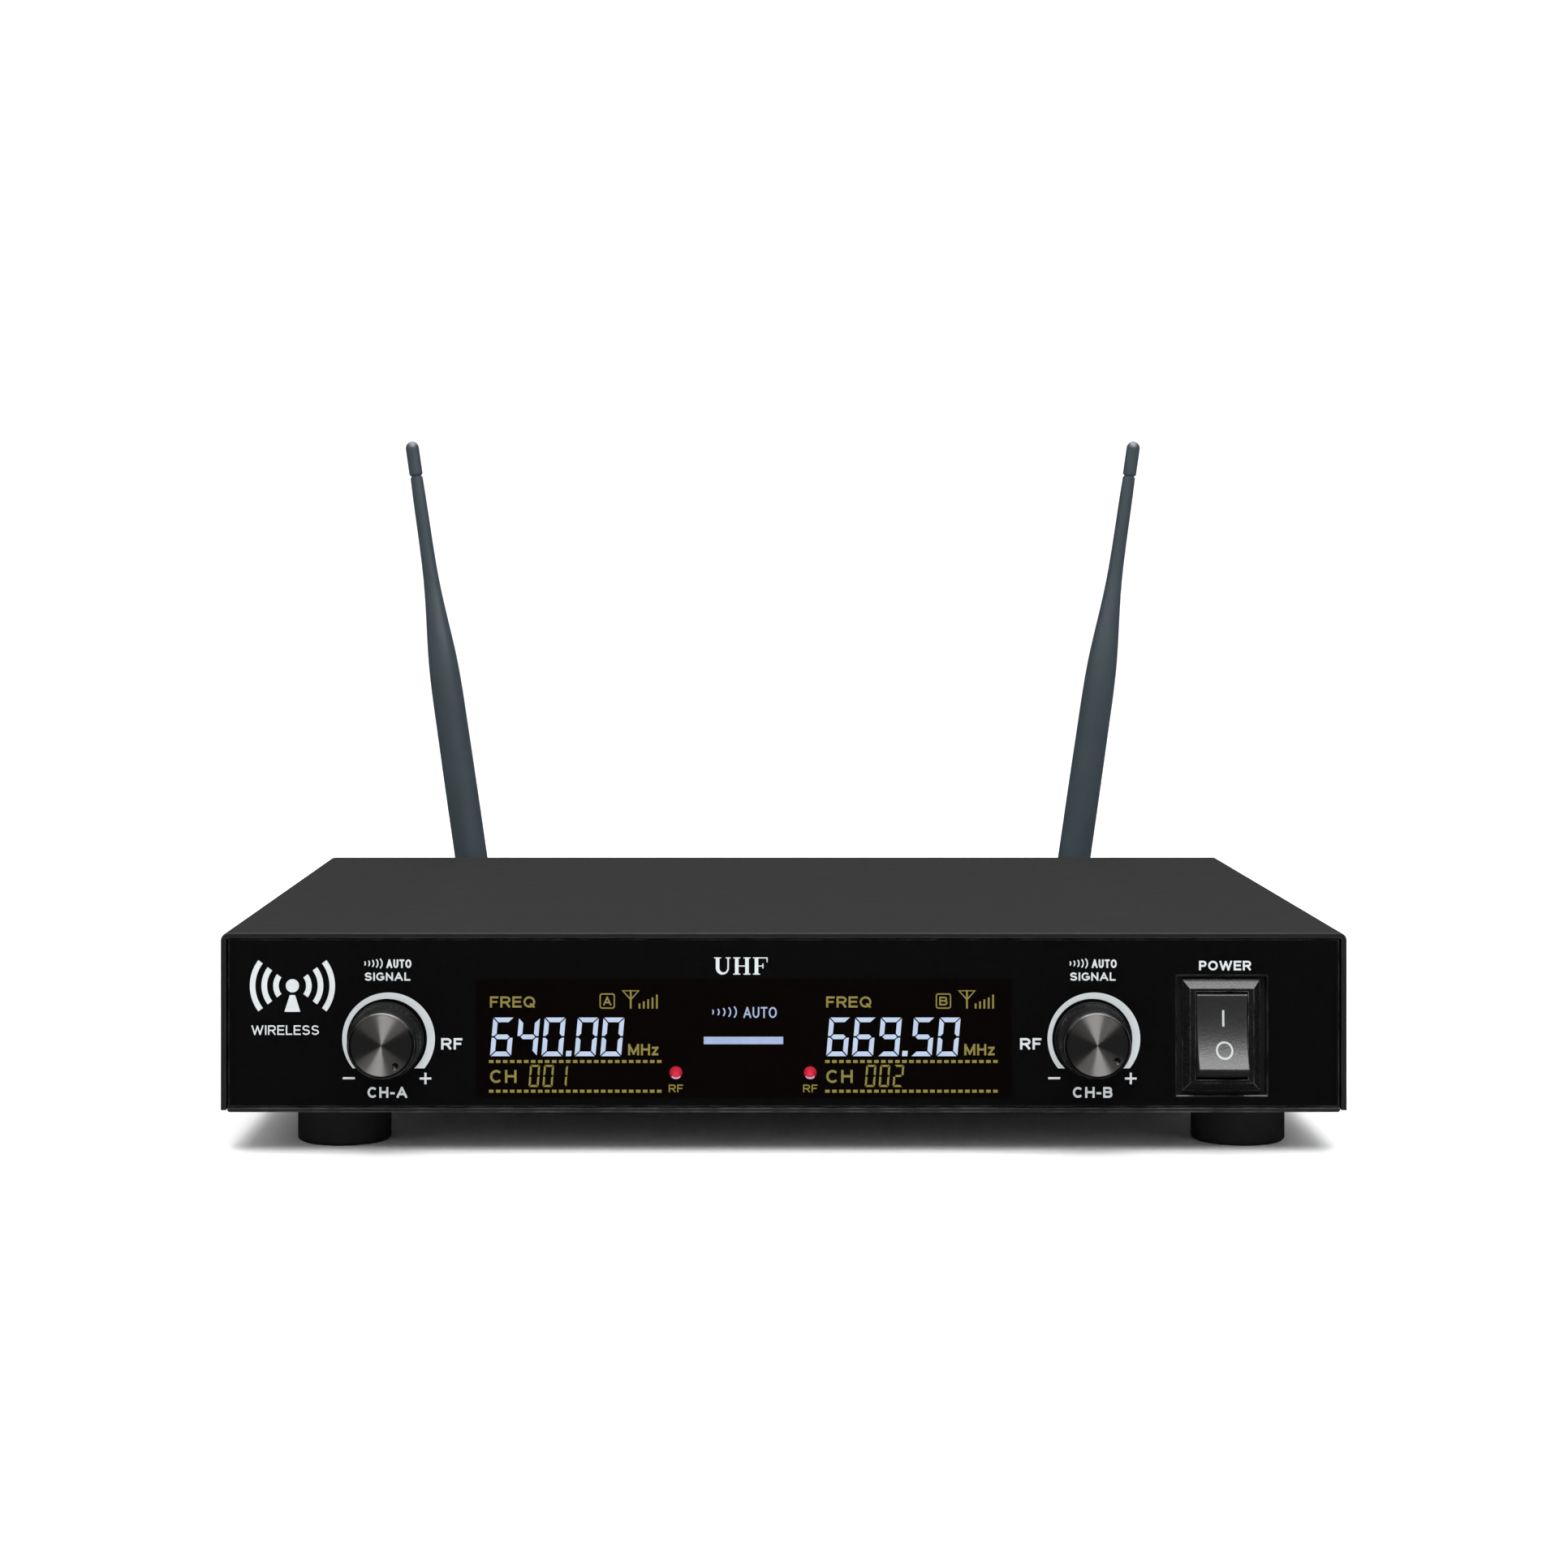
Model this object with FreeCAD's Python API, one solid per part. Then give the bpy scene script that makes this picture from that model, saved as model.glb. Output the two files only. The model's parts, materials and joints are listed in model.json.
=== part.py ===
import FreeCAD, Part
import math
import os

# Two-channel wireless microphone receiver in a half-rack steel cabinet: bent-sheet tray and U-shaped cover,
# glossy acrylic front with two level knobs, a rocker power switch and two small displays, and a rear panel
# with balanced and unbalanced outputs, a power inlet and two folding whip antennas on bayonet connectors.
#
# Frame: millimetres, +Z up, the front faces -Y, and "left" and "right" are as seen from the front.
# The origin is the middle of the whole object's footprint, on the surface that the feet stand on.

V = FreeCAD.Vector
X_AXIS, Y_AXIS, Z_AXIS = V(1, 0, 0), V(0, 1, 0), V(0, 0, 1)

# ---------------------------------------------------------------- driving dimensions
# Cabinet
CABINET_W = 212.0
CABINET_D = 160.0
CABINET_H = 33.8
COVER_T = 1.0
SHEET_T = 0.8
COVER_BEND_R = 1.5
EDGE_BREAK = 0.22
SLIDE_GAP = 0.2

# Feet
FOOT_R = 9.0
FOOT_H = 8.0
FOOT_X = 86.5
FEET_MID_X = 1.7
FOOT_INSET = 18.0

# Front
ACRYLIC_T = 2.0
ACRYLIC_RECESS = 0.3
CONTROL_Z = 21.8
KNOB_A_X = -74.8
KNOB_B_X = 58.1
KNOB_PROUD = 8.7
KNOB_A_POINTER = 146.0
KNOB_B_POINTER = 128.0
DISPLAY_Z = 22.0
DISPLAY_H = 22.8
DISPLAY_W = 35.0
DISPLAY_A_X = -39.8
DISPLAY_B_X = 24.7
RF_LED_A_X = -20.3
RF_LED_B_X = 5.0
RF_LED_Z = 15.4
SWITCH_X = 82.5
SWITCH_Z = 22.4

# Rear
CONNECTOR_Z = FOOT_H + CABINET_H / 2
ANTENNA_X = 72.0
ANTENNA_LEAN = 8.2
ANTENNA_L = 118.2
HINGE_OUT = 24.0
EAR_R = 4.2
XLR_A_X = -36.0
XLR_B_X = -4.0
MIX_JACK_X = 24.0
DC_INLET_X = 46.0

# Screws
M3_R = 1.45
M3_HOLE_R = 1.6
M3_TAPPED_R = 1.5

# Planes worked out from the above
FRONT_Y = (KNOB_PROUD - CABINET_D - HINGE_OUT - EAR_R) / 2
REAR_Y = FRONT_Y + CABINET_D
BASE_Z = FOOT_H
TOP_Z = BASE_Z + CABINET_H
TRAY_Z = BASE_Z + SHEET_T
SIDE_X = CABINET_W / 2
TRAY_X = SIDE_X - COVER_T - SLIDE_GAP
ACRYLIC_Y = FRONT_Y + ACRYLIC_RECESS
SUBPANEL_Y = ACRYLIC_Y + ACRYLIC_T
SUBPANEL_BACK_Y = SUBPANEL_Y + SHEET_T
PANEL_IN_Y = REAR_Y - SHEET_T
BOARD_T = 1.6
CONTROL_BOARD_Y = FRONT_Y + 10.6
MAIN_BOARD_Z = TRAY_Z + 6.0
MAIN_BOARD_TOP = MAIN_BOARD_Z + BOARD_T
HINGE_Y = REAR_Y + HINGE_OUT


# ---------------------------------------------------------------- shape helpers
def box(x0, x1, y0, y1, z0, z1):
    """Box between two opposite corners."""
    return Part.makeBox(x1 - x0, y1 - y0, z1 - z0, V(x0, y0, z0))


def rod(radius, start, end):
    """Solid cylinder from one point to another."""
    return Part.makeCylinder(radius, (end - start).Length, start, end - start)


def rod_y(radius, x, z, y0, y1):
    """Solid cylinder along Y."""
    return rod(radius, V(x, y0, z), V(x, y1, z))


def hexagon_y(across_flats, x, z, y0, y1):
    """Hexagonal prism along Y, with a corner pointing up."""
    corner_r = across_flats / math.sqrt(3)
    ring = [
        V(x + corner_r * math.sin(math.radians(60 * k)), y0, z + corner_r * math.cos(math.radians(60 * k)))
        for k in range(7)
    ]
    return Part.Face(Part.makePolygon(ring)).extrude(V(0, y1 - y0, 0))


def fuse(first, *others):
    """One solid from several that touch or overlap."""
    return first.fuse(list(others)).removeSplitter()


def turned(profile, start=V(0, 0, 0), axis=Y_AXIS):
    """Solid of revolution about the line through start, from a closed list of (radius, along) points."""
    side = X_AXIS if abs(axis.dot(X_AXIS)) < 0.5 else Z_AXIS
    points = [start + side * radius + axis * along for radius, along in profile]
    face = Part.Face(Part.makePolygon(points + points[:1]))
    return face.revolve(start, axis, 360)


def broken_edges(shape, size, wanted):
    """The shape with a small chamfer on each edge that wanted() picks."""
    return shape.makeChamfer(size, [e for e in shape.Edges if wanted(e)])


def rounded_edges(shape, radius, wanted):
    """The shape with a fillet on each edge that wanted() picks."""
    return shape.makeFillet(radius, [e for e in shape.Edges if wanted(e)])


def runs_along(edge, axis):
    """Whether a straight edge is parallel to an axis."""
    if not isinstance(edge.Curve, (Part.Line, Part.LineSegment)):
        return False
    return abs(edge.tangentAt(edge.FirstParameter).dot(axis)) > 0.999


def lies_at_y(edge, y):
    """Whether an edge lies wholly in the plane at that y."""
    return abs(edge.BoundBox.YMin - y) < 1e-4 and abs(edge.BoundBox.YMax - y) < 1e-4


def notches_y(radius, cut_r, count, x, z, y0, y1):
    """Round-bottomed grooves along Y, spaced round a cylinder, as one cutting tool."""
    tools = []
    for k in range(count):
        a = 2 * math.pi * k / count
        tools.append(rod_y(cut_r, x + radius * math.cos(a), z + radius * math.sin(a), y0, y1))
    return Part.makeCompound(tools)


def round_slot(x0, x1, y, z0, z1, width):
    """Cutter for a slot with round ends, upright in Z, through the wall from x0 to x1."""
    r = width / 2
    ends = [rod(r, V(x0, y, z), V(x1, y, z)) for z in (z0 + r, z1 - r)]
    return fuse(box(x0, x1, y - r, y + r, z0 + r, z1 - r), *ends)


def pan_screw(head_r, head_h, length, seat, pointing, shank_r=M3_R):
    """Cross-recessed pan-head screw. seat is where the head meets the work, and the shank points inward."""
    crown = head_h * 0.45
    head = turned(
        [
            (0, 0), (head_r, 0), (head_r, -crown), (head_r * 0.86, -head_h * 0.85), (head_r * 0.6, -head_h),
            (0, -head_h),
        ],
        axis=Z_AXIS,
    )
    arm_l, arm_w, depth = head_r * 1.15, head_r * 0.2, head_h * 0.6
    recess = [
        box(-arm_l / 2, arm_l / 2, -arm_w / 2, arm_w / 2, -head_h - 1, depth - head_h),
        box(-arm_w / 2, arm_w / 2, -arm_l / 2, arm_l / 2, -head_h - 1, depth - head_h),
    ]
    screw = head.cut(recess).fuse(Part.makeCylinder(shank_r, length, V(0, 0, 0), Z_AXIS)).removeSplitter()
    screw.Placement = FreeCAD.Placement(seat, FreeCAD.Rotation(Z_AXIS, pointing))
    return screw


def lead(points, radius):
    """Round wire along straight runs that are joined by tangent arcs, as large as the runs allow."""
    arc_share = 0.45
    starts, ends, arcs = [points[0]], [], []
    for before, corner, after in zip(points, points[1:], points[2:]):
        into, out = corner - before, after - corner
        reach = arc_share * min(into.Length, out.Length)
        first = corner - into.normalize() * reach
        last = corner + out.normalize() * reach
        bend_r = reach / math.tan(into.getAngle(out) / 2)
        toward = ((first + last) * 0.5 - corner).normalize()
        middle = corner + toward * (math.hypot(reach, bend_r) - bend_r)
        arcs.append(Part.Arc(first, middle, last).toShape())
        ends.append(first)
        starts.append(last)
    ends.append(points[-1])
    edges = []
    for k, (a, b) in enumerate(zip(starts, ends)):
        edges.append(Part.LineSegment(a, b).toShape())
        if k < len(arcs):
            edges.append(arcs[k])
    path = Part.Wire(edges)
    section = Part.Wire(Part.Circle(points[0], points[1] - points[0], radius).toShape())
    wire = path.makePipeShell([section], True, False)
    expected = path.Length * math.pi * radius**2
    if abs(wire.Volume - expected) > 0.02 * expected:
        raise ValueError(f"lead volume {wire.Volume:.2f} is not its length times its section, {expected:.2f}")
    return wire


# ---------------------------------------------------------------- cabinet
COVER_SCREW_YS = [FRONT_Y + d for d in (24.0, 80.0, 136.0)]
COVER_SCREW_Z = BASE_Z + 7.5
VENT_SLOTS = 11
VENT_PITCH = 5.0
VENT_W = 2.2


def top_cover():
    """U-shaped cover: top and sides from one bent sheet, with vent slots and screw holes in the sides."""
    skirt_z = BASE_Z + 0.4
    bend_in_r = COVER_BEND_R - COVER_T
    outer = rounded_edges(
        box(-SIDE_X, SIDE_X, FRONT_Y, REAR_Y, skirt_z, TOP_Z),
        COVER_BEND_R,
        lambda e: runs_along(e, Y_AXIS) and e.BoundBox.ZMin > TOP_Z - 0.01,
    )
    inner_x, inner_top = SIDE_X - COVER_T, TOP_Z - COVER_T
    inner = rounded_edges(
        box(-inner_x, inner_x, FRONT_Y - 1, REAR_Y + 1, skirt_z - 1, inner_top),
        bend_in_r,
        lambda e: runs_along(e, Y_AXIS) and e.BoundBox.ZMin > inner_top - 0.01,
    )
    cover = broken_edges(
        outer.cut(inner),
        EDGE_BREAK,
        lambda e: (lies_at_y(e, FRONT_Y) or lies_at_y(e, REAR_Y))
        and (max(e.BoundBox.XMax, -e.BoundBox.XMin) > SIDE_X - 0.01 or e.BoundBox.ZMax > TOP_Z - 0.01)
        and e.BoundBox.ZMax > skirt_z + 0.5,
    )
    cutters = []
    for side in (-1, 1):
        x0, x1 = sorted((side * (SIDE_X + 1), side * (inner_x - 1)))
        cutters += [rod(M3_HOLE_R, V(x0, y, COVER_SCREW_Z), V(x1, y, COVER_SCREW_Z)) for y in COVER_SCREW_YS]
        for k in range(VENT_SLOTS):
            y = REAR_Y - 28.0 - VENT_PITCH * k
            cutters.append(round_slot(x0, x1, y, BASE_Z + 13.0, TOP_Z - 6.0, VENT_W))
    return cover.cut(cutters)


def chassis_tray():
    """Bottom plate with an upturned flange along each side, slotted for air under the boards."""
    tray = box(-TRAY_X, TRAY_X, ACRYLIC_Y, REAR_Y, BASE_Z, TRAY_Z)
    flange_h = 11.0
    for side in (-1, 1):
        x0, x1 = sorted((side * TRAY_X, side * (TRAY_X - SHEET_T)))
        tray = tray.fuse(box(x0, x1, FRONT_Y + 6, REAR_Y - 12, BASE_Z, TRAY_Z + flange_h))
    tray = rounded_edges(
        tray.removeSplitter(),
        0.5,
        lambda e: runs_along(e, Y_AXIS)
        and e.BoundBox.ZMax < BASE_Z + 0.01
        and abs(e.BoundBox.XMin) > TRAY_X - 0.01,
    )
    cutters = []
    for side in (-1, 1):
        x0, x1 = sorted((side * (TRAY_X + 1), side * (TRAY_X - 2)))
        for y in COVER_SCREW_YS:
            cutters.append(rod(M3_TAPPED_R, V(x0, y, COVER_SCREW_Z), V(x1, y, COVER_SCREW_Z)))
        for k in range(6):
            x = side * (22.0 + 6.0 * k)
            cutters.append(box(x - 1.25, x + 1.25, FRONT_Y + 68, FRONT_Y + 96, BASE_Z - 1, TRAY_Z + 1))
    cutters += [rod(M3_TAPPED_R, V(x, y, BASE_Z - 1), V(x, y, TRAY_Z + 1)) for x, y in foot_places()]
    return tray.cut(cutters)


def front_subpanel():
    """Steel wall behind the acrylic, with a flange welded to the tray, for the controls and the displays."""
    wall_x = TRAY_X - SHEET_T - 0.2
    wall = box(-wall_x, wall_x, SUBPANEL_Y, SUBPANEL_BACK_Y, TRAY_Z, TOP_Z - COVER_T - SLIDE_GAP)
    flange = box(-wall_x, wall_x, SUBPANEL_BACK_Y, SUBPANEL_BACK_Y + 9.5, TRAY_Z, TRAY_Z + SHEET_T)
    y0, y1 = SUBPANEL_Y - 1, SUBPANEL_BACK_Y + 1
    window_z0, window_z1 = DISPLAY_Z - DISPLAY_H / 2 - 0.2, DISPLAY_Z + DISPLAY_H / 2 + 0.2
    window_x0, window_x1 = DISPLAY_A_X - DISPLAY_W / 2 - 0.5, DISPLAY_B_X + DISPLAY_W / 2 + 0.5
    cutters = [
        box(window_x0, window_x1, y0, y1, window_z0, window_z1),
        box(SWITCH_X - 6.6, SWITCH_X + 6.6, y0, y1, SWITCH_Z - 9.6, SWITCH_Z + 9.6),
    ]
    cutters += [rod_y(3.6, x, CONTROL_Z, y0, y1) for x in (KNOB_A_X, KNOB_B_X)]
    return fuse(wall, flange).cut(cutters)


SWITCH_WINDOW_W = 16.8
SWITCH_WINDOW_H = 22.4
KNOB_HOLE_R = 6.2
RF_HOLE_R = 1.2


def front_panel():
    """Glossy acrylic front: holes for the knobs' nuts and the lamps, and a window round the power switch."""
    half_w, top_z = TRAY_X - 0.1, TOP_Z - COVER_T - SLIDE_GAP / 2
    panel = box(-half_w, half_w, ACRYLIC_Y, ACRYLIC_Y + ACRYLIC_T, TRAY_Z + 0.1, top_z)
    y0, y1 = ACRYLIC_Y - 1, ACRYLIC_Y + ACRYLIC_T + 1
    half_w, half_h = SWITCH_WINDOW_W / 2, SWITCH_WINDOW_H / 2
    cutters = [box(SWITCH_X - half_w, SWITCH_X + half_w, y0, y1, SWITCH_Z - half_h, SWITCH_Z + half_h)]
    cutters += [rod_y(KNOB_HOLE_R, x, CONTROL_Z, y0, y1) for x in (KNOB_A_X, KNOB_B_X)]
    cutters += [rod_y(RF_HOLE_R, x, RF_LED_Z, y0, y1) for x in (RF_LED_A_X, RF_LED_B_X)]
    return broken_edges(panel.cut(cutters), EDGE_BREAK, lambda e: lies_at_y(e, ACRYLIC_Y))


def rear_panel():
    """Steel rear wall with a flange welded to the tray, punched for every connector."""
    panel_x = TRAY_X - 0.1
    wall = box(-panel_x, panel_x, PANEL_IN_Y, REAR_Y, TRAY_Z, TOP_Z - COVER_T - SLIDE_GAP / 2)
    flange = box(-TRAY_X + 3, TRAY_X - 3, PANEL_IN_Y - 9, PANEL_IN_Y, TRAY_Z, TRAY_Z + SHEET_T)
    y0, y1 = PANEL_IN_Y - 1, REAR_Y + 1
    cutters = [rod_y(SOCKET_THREAD_R + 0.1, x, CONNECTOR_Z, y0, y1) for x in (-ANTENNA_X, ANTENNA_X)]
    for x in (XLR_A_X, XLR_B_X):
        cutters.append(rod_y(XLR_BARREL_R + 0.2, x, CONNECTOR_Z, y0, y1))
        cutters += [rod_y(M3_HOLE_R, sx, sz, y0, y1) for sx, sz in xlr_screw_places(x)]
    cutters.append(rod_y(JACK_BUSHING_R + 0.1, MIX_JACK_X, CONNECTOR_Z, y0, y1))
    cutters.append(rod_y(DC_BODY_R + 0.1, DC_INLET_X, CONNECTOR_Z, y0, y1))
    return fuse(wall, flange).cut(cutters)


def cover_screws():
    """Three screws through each side of the cover into the tray's flanges."""
    return [
        pan_screw(2.75, 1.1, 5.0, V(side * SIDE_X, y, COVER_SCREW_Z), V(-side, 0, 0))
        for side in (-1, 1)
        for y in COVER_SCREW_YS
    ]


# ---------------------------------------------------------------- feet
FOOT_RECESS_R = 4.2
FOOT_RECESS_H = 4.0


def foot_places():
    """Centres of the four feet: front left, front right, rear left, rear right."""
    xs = (FEET_MID_X - FOOT_X, FEET_MID_X + FOOT_X)
    return [(x, y) for y in (FRONT_Y + FOOT_INSET, REAR_Y - FOOT_INSET) for x in xs]


def foot(x, y):
    """Round rubber foot with a rounded lower edge and a recess for its screw."""
    body = rounded_edges(
        Part.makeCylinder(FOOT_R, FOOT_H, V(x, y, 0)),
        0.8,
        lambda e: e.BoundBox.ZMax < 0.01 and len(e.Vertexes) == 1,
    )
    recess = Part.makeCylinder(FOOT_RECESS_R, FOOT_RECESS_H + 1, V(x, y, -1))
    bore = Part.makeCylinder(M3_HOLE_R, FOOT_H + 1, V(x, y, 0))
    return body.cut([recess, bore])


def foot_screws():
    """One screw up through each foot into the tray."""
    return [pan_screw(2.75, 1.8, 7.5, V(x, y, FOOT_RECESS_H), Z_AXIS) for x, y in foot_places()]


# ---------------------------------------------------------------- level controls
SHAFT_R = 3.0
SHAFT_FLAT = 1.5
BUSHING_R = 3.5
BUSHING_END_Y = FRONT_Y - 1.5
KNOB_BACK_Y = FRONT_Y - 0.5
KNOB_LIP_Y = FRONT_Y - KNOB_PROUD + 0.4
KNOB_FACE_Y = FRONT_Y - KNOB_PROUD
KNOB_SEAT_Y = KNOB_LIP_Y + 0.5
KNOB_CAP_R = 6.05
POT_BACK_Y = FRONT_Y + 10.0


def pot_body(x):
    """Rotary potentiometer: a square case behind the subpanel, three pins, and a bushing out at the front."""
    case = box(x - 4.9, x + 4.9, SUBPANEL_BACK_Y, POT_BACK_Y, CONTROL_Z - 5, CONTROL_Z + 5)
    bushing = rod_y(BUSHING_R, x, CONTROL_Z, BUSHING_END_Y, SUBPANEL_BACK_Y + 1)
    pins = [
        box(x + d - 0.4, x + d + 0.4, POT_BACK_Y, CONTROL_BOARD_Y, CONTROL_Z - 4.5, CONTROL_Z - 4)
        for d in (-2.5, 0, 2.5)
    ]
    bore = rod_y(SHAFT_R + 0.06, x, CONTROL_Z, BUSHING_END_Y - 1, FRONT_Y + 5.4)
    return fuse(case, bushing, *pins).cut(bore)


def pot_nut(x):
    """Hexagonal nut that clamps the potentiometer to the subpanel, inside the acrylic's hole."""
    nut = hexagon_y(10.0, x, CONTROL_Z, SUBPANEL_Y - 2.0, SUBPANEL_Y)
    return nut.cut(rod_y(BUSHING_R + 0.05, x, CONTROL_Z, FRONT_Y - 2, SUBPANEL_Y + 1))


def shaft_section(x, radius, flat, y0, y1):
    """D-shaped bar along Y, flat on its +X side."""
    keep = box(x - 5, x + flat, y0, y1, CONTROL_Z - 5, CONTROL_Z + 5)
    return rod_y(radius, x, CONTROL_Z, y0, y1).common(keep)


def pot_shaft(x, pointer):
    """Shaft of the potentiometer: round in the bushing and D-shaped in the knob."""
    shoulder_y = BUSHING_END_Y - 0.1
    round_part = rod_y(SHAFT_R, x, CONTROL_Z, shoulder_y, FRONT_Y + 5.2)
    flat_part = shaft_section(x, SHAFT_R, SHAFT_FLAT, KNOB_SEAT_Y + 0.5, shoulder_y)
    return turned_to_pointer(fuse(round_part, flat_part), x, pointer)


def turned_to_pointer(shape, x, pointer):
    """The shape turned clockwise, as seen from the front, from twelve o'clock to the pointer's angle."""
    shape.rotate(V(x, 0, CONTROL_Z), Y_AXIS, pointer)
    return shape


def knob(x, pointer):
    """Moulded knob: a skirt, a fluted and slightly tapered grip, and a shallow seat for the metal face."""
    depth = KNOB_LIP_Y - KNOB_BACK_Y
    grip = turned(
        [
            (0, 0), (6.9, 0), (7.1, -0.2), (7.1, -1.1), (6.8, -1.4), (6.7, -1.4),
            (6.45, depth + 0.4), (6.2, depth), (0, depth),
        ],
        V(x, KNOB_BACK_Y, CONTROL_Z),
    )
    cutters = [
        notches_y(6.78, 0.24, 40, x, CONTROL_Z, KNOB_LIP_Y + 0.9, KNOB_BACK_Y - 1.9),
        rod_y(KNOB_CAP_R + 0.05, x, CONTROL_Z, KNOB_LIP_Y - 1, KNOB_SEAT_Y),
        rod_y(4.4, x, CONTROL_Z, KNOB_BACK_Y - 1.8, KNOB_BACK_Y + 1),
        shaft_section(x, SHAFT_R + 0.03, SHAFT_FLAT + 0.03, KNOB_SEAT_Y + 0.4, KNOB_BACK_Y),
    ]
    return turned_to_pointer(grip.cut(cutters), x, pointer)


def knob_cap(x, pointer):
    """Spun aluminium face of the knob, with a chamfered rim and a dimple that shows where the knob points."""
    thick = KNOB_SEAT_Y - KNOB_FACE_Y
    face = turned(
        [(0, 0), (KNOB_CAP_R, 0), (KNOB_CAP_R, 0.3 - thick), (KNOB_CAP_R - 0.3, -thick), (0, -thick)],
        V(x, KNOB_SEAT_Y, CONTROL_Z),
    )
    dimple = Part.makeSphere(0.8, V(x, KNOB_FACE_Y - 0.45, CONTROL_Z + 4.6))
    return turned_to_pointer(face.cut(dimple), x, pointer)


# ---------------------------------------------------------------- power switch
BEZEL_W, BEZEL_H = 14.6, 21.0
BEZEL_FACE_W, BEZEL_FACE_H = 12.0, 17.8
ROCKER_OPEN_W, ROCKER_OPEN_H = 9.9, 16.6
BEZEL_FACE_Y = FRONT_Y + 0.1
ROCKER_PIVOT_Y = BEZEL_FACE_Y + 2.0
ROCKER_R = 8.1
ROCKER_CORNER = 29.7
ROCKER_THROW = 12.5
ROCKER_VALLEY = 2.6
PIVOT_R = 1.15


def rectangle_y(width, height, y):
    """Rectangle round the switch's centre, in the plane at y, as a wire."""
    x0, x1, z0, z1 = SWITCH_X - width / 2, SWITCH_X + width / 2, SWITCH_Z - height / 2, SWITCH_Z + height / 2
    return Part.makePolygon([V(x0, y, z0), V(x1, y, z0), V(x1, y, z1), V(x0, y, z1), V(x0, y, z0)])


def switch_block(width, height, y0, y1):
    """Box round the switch's centre line."""
    half_w, half_h = width / 2, height / 2
    return box(SWITCH_X - half_w, SWITCH_X + half_w, y0, y1, SWITCH_Z - half_h, SWITCH_Z + half_h)


def switch_housing():
    """Snap-in rocker switch housing: a bevelled bezel, a hollow body, and wings that grip above and below."""
    bevel_y = BEZEL_FACE_Y + 1.1
    outlines = [rectangle_y(BEZEL_FACE_W, BEZEL_FACE_H, BEZEL_FACE_Y), rectangle_y(BEZEL_W, BEZEL_H, bevel_y)]
    bevel = Part.makeLoft(outlines, True, True)
    flange = switch_block(BEZEL_W, BEZEL_H, bevel_y, SUBPANEL_Y)
    body = switch_block(12.8, 18.8, SUBPANEL_Y, FRONT_Y + 15.0)
    wings = []
    for side in (-1, 1):
        root_z, tip_z = SWITCH_Z + side * 9.3, SWITCH_Z + side * 10.2
        corners = [V(SWITCH_X - 4, y, z) for y, z in (
            (SUBPANEL_BACK_Y + 0.1, root_z), (SUBPANEL_BACK_Y + 0.1, tip_z), (FRONT_Y + 9.5, root_z))]
        wings.append(Part.Face(Part.makePolygon(corners + corners[:1])).extrude(V(8, 0, 0)))
    pivot = V(SWITCH_X, ROCKER_PIVOT_Y, SWITCH_Z)
    cutters = [
        switch_block(ROCKER_OPEN_W, ROCKER_OPEN_H, BEZEL_FACE_Y - 1, FRONT_Y + 11.0),
        rod(PIVOT_R + 0.06, pivot - X_AXIS * 5.9, pivot + X_AXIS * 5.9),
    ]
    return fuse(bevel, flange, body, *wings).cut(cutters)


def switch_rocker():
    """Rocker in its on position: the upper half pressed in and the lower half proud, on two pivot stubs."""
    def rim(degrees, side):
        a = math.radians(degrees)
        return V(0, -ROCKER_R * math.sin(a), side * ROCKER_R * math.cos(a))

    back = -20.0
    middle = (ROCKER_CORNER + back) / 2
    outline = Part.Wire([
        Part.Arc(rim(ROCKER_CORNER, 1), V(0, -ROCKER_VALLEY, 0), rim(ROCKER_CORNER, -1)).toShape(),
        Part.Arc(rim(ROCKER_CORNER, -1), rim(middle, -1), rim(back, -1)).toShape(),
        Part.LineSegment(rim(back, -1), rim(back, 1)).toShape(),
        Part.Arc(rim(back, 1), rim(middle, 1), rim(ROCKER_CORNER, 1)).toShape(),
    ])
    width = ROCKER_OPEN_W - 0.3
    slab = Part.Face(outline).extrude(V(width, 0, 0))
    slab.translate(V(-width / 2, 0, 0))
    slab = rounded_edges(slab, 0.3, lambda e: e.BoundBox.YMax < -1.5)
    stubs = rod(PIVOT_R, V(-5.7, 0, 0), V(5.7, 0, 0))
    rocker = fuse(slab, stubs)
    rocker.rotate(V(0, 0, 0), X_AXIS, -ROCKER_THROW)
    rocker.translate(V(SWITCH_X, ROCKER_PIVOT_Y, SWITCH_Z))
    return rocker


def switch_terminals():
    """Two spade terminals behind the switch, one above the other."""
    y0, y1 = FRONT_Y + 15.0, FRONT_Y + 23.0
    spades = []
    for z in (SWITCH_Z - 4, SWITCH_Z + 4):
        blade = box(SWITCH_X - 2.4, SWITCH_X + 2.4, y0, y1, z - 0.4, z + 0.4)
        eye = rod(0.8, V(SWITCH_X, y1 - 3, z - 1), V(SWITCH_X, y1 - 3, z + 1))
        spades.append(blade.cut(eye))
    return spades


# ---------------------------------------------------------------- displays and control board
def lcd_glass(x):
    """Display glass of one channel, inside the subpanel's window."""
    z0, z1 = DISPLAY_Z - DISPLAY_H / 2, DISPLAY_Z + DISPLAY_H / 2
    return box(x - DISPLAY_W / 2, x + DISPLAY_W / 2, SUBPANEL_Y, SUBPANEL_Y + 2.8, z0, z1)


def lcd_backlights():
    """Light boxes between each display glass and the control board."""
    half_w, half_h = DISPLAY_W / 2 - 0.6, DISPLAY_H / 2 - 0.6
    return [
        box(x - half_w, x + half_w, SUBPANEL_Y + 2.8, CONTROL_BOARD_Y, DISPLAY_Z - half_h, DISPLAY_Z + half_h)
        for x in (DISPLAY_A_X, DISPLAY_B_X)
    ]


def indicator_light_guide():
    """Light guide between the displays, for the lit symbol and bar in the middle of the front."""
    return box(-16.5, 1.5, SUBPANEL_Y, CONTROL_BOARD_Y, 18.6, 30.5)


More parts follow.
